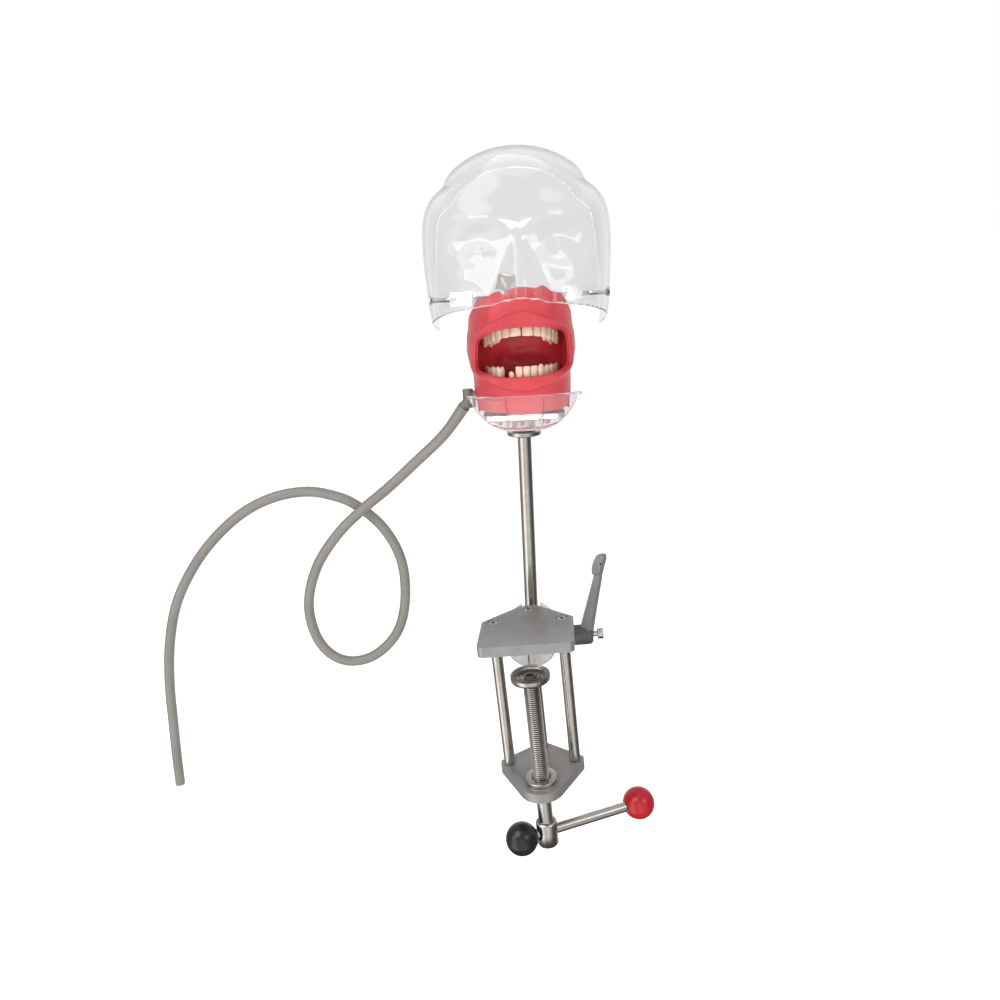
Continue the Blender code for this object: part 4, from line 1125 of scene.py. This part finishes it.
MASK_LEVELS = [(212, 40.4, -65.0), (222, 40.6, -67.5), (232, 40.8, -70.5),
               (241, 41.2, -72.0), (250, 43.6, -71.0), (262, 45.4, -71.0),
               (272, 44.8, -73.0), (282, 43.0, -73.0),
               (300, 42.2, -71.5), (306, 41.6, -68.5), (312, 40.0, -61.0)]


def eased(table, place):
    """Values that ease between the rows (place, value, ...) of a table."""
    for low, high in zip(table, table[1:]):
        if place <= high[0]:
            t = ease(place, low[0], high[0])
            return [a + (b - a) * t for a, b in zip(low[1:], high[1:])]
    return table[-1][1:]


def sleeve(theta, z, out=0.0):
    """A point of the mask's skin: theta from -90 to 90 degrees round the front."""
    wide, front = eased(MASK_LEVELS, z)
    x = (wide + out) * power(math.sin(math.radians(theta)), 0.62)
    c = max(0.0, math.cos(math.radians(theta)))
    return Vector((x, 6.0 + (front - out - 6.0) * c ** 0.72, z))


def theta_of(x, z):
    wide, _ = eased(MASK_LEVELS, z)
    return math.copysign(math.degrees(math.asin(min(0.999, (abs(x) / wide) ** (1 / 0.62)))), x)


def along(points, t):
    """A point on a closed outline at a share of its length."""
    total = 0.0
    spans = []
    for a, b in zip(points, points[1:] + points[:1]):
        spans.append((Vector(b) - Vector(a)).length)
        total += spans[-1]
    want = (t % 1.0) * total
    for (a, b), span in zip(zip(points, points[1:] + points[:1]), spans):
        if want <= span:
            return Vector(a).lerp(Vector(b), want / span)
        want -= span
    return Vector(points[0])


def rounded(points, cuts=3):
    """Corner cutting on a closed outline."""
    for _ in range(cuts):
        out = []
        for a, b in zip(points, points[1:] + points[:1]):
            a, b = Vector(a), Vector(b)
            out += [tuple(a.lerp(b, 0.25)), tuple(a.lerp(b, 0.75))]
        points = out
    return points


# outlines as seen from the front, (x, z), going round from the left corner upwards
OPENING = [(-36.9, 249.9), (-36.3, 257.0), (-35.5, 265.0), (-34.7, 271.8), (-31.5, 275.4),
           (-23.0, 279.2), (-14.0, 281.6), (0.0, 282.2), (14.0, 281.8), (26.0, 280.4),
           (32.8, 278.0), (35.2, 273.6), (36.0, 266.0), (36.6, 258.0), (36.9, 252.0),
           (34.4, 248.3), (26.0, 245.9), (10.0, 244.6), (-6.0, 244.3), (-18.0, 245.0),
           (-29.0, 246.8), (-35.2, 248.2)]
LIPS = [(-38.6, 248.9), (-37.9, 257.0), (-37.2, 265.0), (-36.2, 273.4), (-31.5, 278.6),
        (-22.0, 284.6), (-11.0, 289.8), (1.0, 292.9), (12.0, 290.2), (23.0, 285.2),
        (32.2, 280.8), (36.8, 275.6), (37.8, 266.0), (38.3, 258.0), (38.5, 250.8),
        (34.4, 246.6), (24.0, 241.4), (11.0, 236.2), (-1.0, 234.4), (-12.0, 236.6),
        (-24.0, 241.4), (-34.4, 246.6)]
MASK_TOP = [(-90, 283), (-72, 290), (-60, 295.5), (-50, 302), (-40, 305), (-30, 304.5),
            (-14, 308), (0, 311.5), (12, 311), (24, 307), (38, 306), (50, 303),
            (60, 295.5), (72, 291), (90, 283)]


LOW_EDGE = 216.5
MOUTH = Vector((0, 263))


def mask_field(theta, z):
    """Skin offset (mm): folds beside the mouth, middle ridge, chin and cheeks."""
    x = sleeve(theta, z).x
    fold = -1.8 * bell(abs(x), 27 + (z - 276) * 0.3, 4.5) * ease(z, 278, 290)
    ridge = 1.6 * bell(x, 1, 12) * ease(z, 284, 297)
    chin = 1.3 * bell(x, 0, 22) * bell(z, 222, 8)
    crease = -1.1 * bell(abs(theta), 68, 14) * bell(z, 243, 4)
    return fold + ridge + chin + crease


def oral_mask():
    count = 128
    opening = rounded(OPENING, 2)
    lips = rounded(LIPS, 1)
    rows = []
    for inward, depth in ((3.2, 7.0), (1.2, 4.6), (0.0, 2.4), (-0.4, 0.9)):
        row = []
        for i in range(count):
            q = along(opening, i / count)
            q += (q - MOUTH).normalized() * inward
            p = sleeve(theta_of(q.x, q.y), q.y)
            p.y += depth
            row.append(p)
        rows.append(row)
    ring = []
    for i in range(count):
        a = along(opening, i / count)
        b = along(lips, i / count)
        ring.append((theta_of(a.x, a.y), a.y, theta_of(b.x, b.y), b.y))
    for share, lip in ((0.0, 1.0), (0.06, 1.35), (0.13, 1.2), (0.2, 0.55), (0.4, 0.9),
                       (0.7, 1.7), (0.92, 2.3), (1.0, 2.4)):
        row = []
        for ta, za, tb, zb in ring:
            theta = ta + (tb - ta) * share
            z = za + (zb - za) * share
            row.append(sleeve(theta, z, mask_field(theta, z) + lip))
        rows.append(row)
    outer = []
    for _, _, tb, zb in ring:
        dt = tb / 90.0
        dz = (zb - 263) / 40.0
        scale = 1 / max(abs(dt), abs(dz), 1e-6)
        theta = max(-90.0, min(90.0, dt * scale * 90.0))
        high = eased(MASK_TOP, theta)[0]
        z = 263 + dz * scale * 40.0
        z = LOW_EDGE if z <= 223.001 else (high if z >= 302.999 else
                                           LOW_EDGE + (high - LOW_EDGE) * (z - 223) / 80.0)
        outer.append((theta, z))
    for share in (0.03, 0.07, 0.13, 0.22, 0.35, 0.5, 0.65, 0.8, 0.91, 1.0):
        row = []
        for (_, _, tb, zb), (to, zo) in zip(ring, outer):
            theta = tb + (to - tb) * share
            z = zb + (zo - zb) * share
            lip = 2.4 * (1.0 - ease(share, 0.0, 0.1))
            row.append(sleeve(theta, z, mask_field(theta, z) + lip))
        rows.append(row)
    work = grid(rows, close_rows=True)
    mask = put("lip_mask", work, HEAD, None, "mask", ("oral_mask",), thickness=1.8,
               subdivide=1)
    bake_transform(mask)


def lining():
    """The red bag behind the teeth, closed at the back with a fold and a throat."""
    rows = []
    levels = 22
    steps = 48
    for j in range(levels + 1):
        z = 214.5 + (291.0 - 214.5) * j / levels
        row = []
        for i in range(steps + 1):
            angle = math.pi * i / steps
            c = math.cos(angle)
            s = math.sin(angle)
            x = -35.6 * power(c, 0.6)
            y = -44.0 + 53.0 * abs(s) ** 0.62
            wall = 0.895 * eased(MASK_LEVELS, z)[0] - 2.4
            x += math.copysign((wall - 35.6) * ease(-y, 20, 44), x)
            hollow = bell(x, -12, 7) * bell(z, 250, 7)
            ridge = bell((((x - 8) / 20) ** 2 + ((z - 247) / 11) ** 2) ** 0.5, 1.0, 0.16)
            y += (4.0 * hollow - 2.6 * ridge) * ease(y, -5, 6)
            row.append((x, y, z))
        rows.append(row)
    bag = put("mouth_bag", grid(rows), HEAD, None, "lining", ("mouth_lining",),
              thickness=1.2, subdivide=1)
    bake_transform(bag)


# ---- carried-over CAD

CARRIED = {
    "hinge_bracket_left": "milled", "hinge_bracket_right": "milled",
    "hinge_pin": "turned_flat", "hinge_arm_left": "milled", "hinge_arm_right": "milled",
    "collar_set_screw": "bright", "lever_stud": "turned_flat",
    "shell_bracket_left": "block", "shell_bracket_right": "block",
    "shell_screw_left": "bright", "shell_screw_right": "bright",
}


def dress():
    for name, look in CARRIED.items():
        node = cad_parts[name]
        if not node.material_slots:
            node.data.materials.append(M[look])
        for slot in node.material_slots:
            slot.material = M[look]


# ---- floor and light

FLOOR = -0.44  # metres: below the hose's end when the mast lies back


def stage():
    mesh = new_mesh("floor", slab([(-60, -30), (60, -30), (60, 90), (-60, 90)],
                                  FLOOR - 0.002, FLOOR))
    floor = new_object("floor", mesh)
    made, tree, shader = new_material("pale_floor")
    feed(tree, shader, {"Base Color": (0.9, 0.9, 0.9, 1), "Roughness": 0.9,
                        "Specular IOR Level": 0.0, "Emission Color": (1, 1, 1, 1),
                        "Emission Strength": 0.55})
    mesh.materials.append(made)
    floor.visible_glossy = False
    floor.visible_transmission = False


def area_light(name, place, target, size, power_w):
    data = bpy.data.lights.new(name, "AREA")
    data.shape = "RECTANGLE"
    data.size, data.size_y = size
    data.energy = power_w
    data.spread = math.pi
    light = new_object(name, data)
    light.visible_glossy = False
    light.location = place
    aim = Vector(target) - Vector(place)
    light.rotation_euler = aim.to_track_quat("-Z", "Y").to_euler()


# brightness of the studio seen in reflections: (degrees to the right of the front, value)
STUDIO = [(-180, 1.3), (-150, 0.9), (-124, 0.26), (-96, 0.28), (-74, 0.60), (-60, 1.7),
          (-42, 2.0), (-26, 0.95), (-10, 0.80), (4, 1.0), (20, 1.0), (36, 0.60),
          (62, 0.14), (96, 0.10), (122, 0.22), (150, 0.9), (180, 1.3)]


# soft panels overhead and in front: (direction, half angle, value)
PANELS = [((-0.42, -0.30, 0.86), 17, 3.2), ((0.62, -0.52, 0.58), 11, 2.4),
          ((-0.80, -0.45, 0.42), 13, 2.4), ((0.05, -1.0, 0.30), 9, 1.3)]


def lights():
    world = bpy.data.worlds.new("studio")
    bpy.context.scene.world = world
    world.use_nodes = True
    tree = world.node_tree

    def maths(operation, *values):
        return add_node(tree, "Math", dict(enumerate(values)), operation=operation).outputs[0]

    def backdrop(colour, strength=1.0):
        return add_node(tree, "Background", {"Color": colour, "Strength": strength})

    where = add_node(tree, "TexCoord").outputs["Generated"]
    across, depth, height = add_node(tree, "SeparateXYZ", {0: where}).outputs
    angle = maths("ARCTAN2", across, maths("MULTIPLY", depth, -1.0))
    share = maths("MULTIPLY_ADD", angle, 0.5 / math.pi, 0.5)
    band = ramp(tree, share, [((a + 180) / 360, v / 2) for a, v in STUDIO])
    glow = mix(tree, map_range(tree, height, 0.05, 0.5), band, (0.30, 0.30, 0.305, 1))
    glow = mix(tree, map_range(tree, height, -0.58, -0.85), glow, (0.05, 0.05, 0.05, 1))
    for toward, half_angle, value in PANELS:
        aim = Vector(toward).normalized()
        dot = maths("ADD", maths("ADD", maths("MULTIPLY", across, aim.x),
                                 maths("MULTIPLY", depth, aim.y)),
                    maths("MULTIPLY", height, aim.z))
        edge = [math.cos(math.radians(half_angle * k)) for k in (1.35, 0.75)]
        glow = mix(tree, map_range(tree, dot, *edge), glow, (value / 2,) * 3 + (1,))
    soft = tree.nodes["Background"]
    feed(tree, soft, {"Color": (0.97, 0.98, 1.0, 1), "Strength": 0.62})
    result = soft.outputs[0]
    path = add_node(tree, "LightPath")
    for ray, shader in (("Is Glossy Ray", backdrop(glow, 2.0)),
                        ("Is Transmission Ray", backdrop((0.78, 0.78, 0.785, 1))),
                        ("Is Camera Ray", backdrop((1, 1, 1, 1)))):
        result = add_node(tree, "MixShader", {0: path.outputs[ray], 1: result,
                                              2: shader.outputs[0]}).outputs[0]
    tree.links.new(result, tree.nodes["World Output"].inputs["Surface"])
    middle = (0.0, 0.05, 0.1)
    area_light("key", (-0.75, -1.0, 0.95), middle, (0.7, 0.9), 11)
    area_light("fill", (1.0, -0.8, 0.6), middle, (0.4, 1.0), 5)
    area_light("front", (0.06, -1.2, 0.20), (0, 0, 0.1), (0.4, 0.4), 7)
    area_light("top", (0.1, 0.25, 1.5), middle, (0.9, 0.9), 3.5)


plates()
spindle()
tommy_bar()
split_block()
lever()
mast()
base_unit()
chin_guard()
spigot()
jaws()
upper_frame()
face_shell()
oral_mask()
lining()
dress()
stage()
lights()
bpy.context.scene.view_settings.view_transform = "Standard"

bpy.context.view_layer.update()
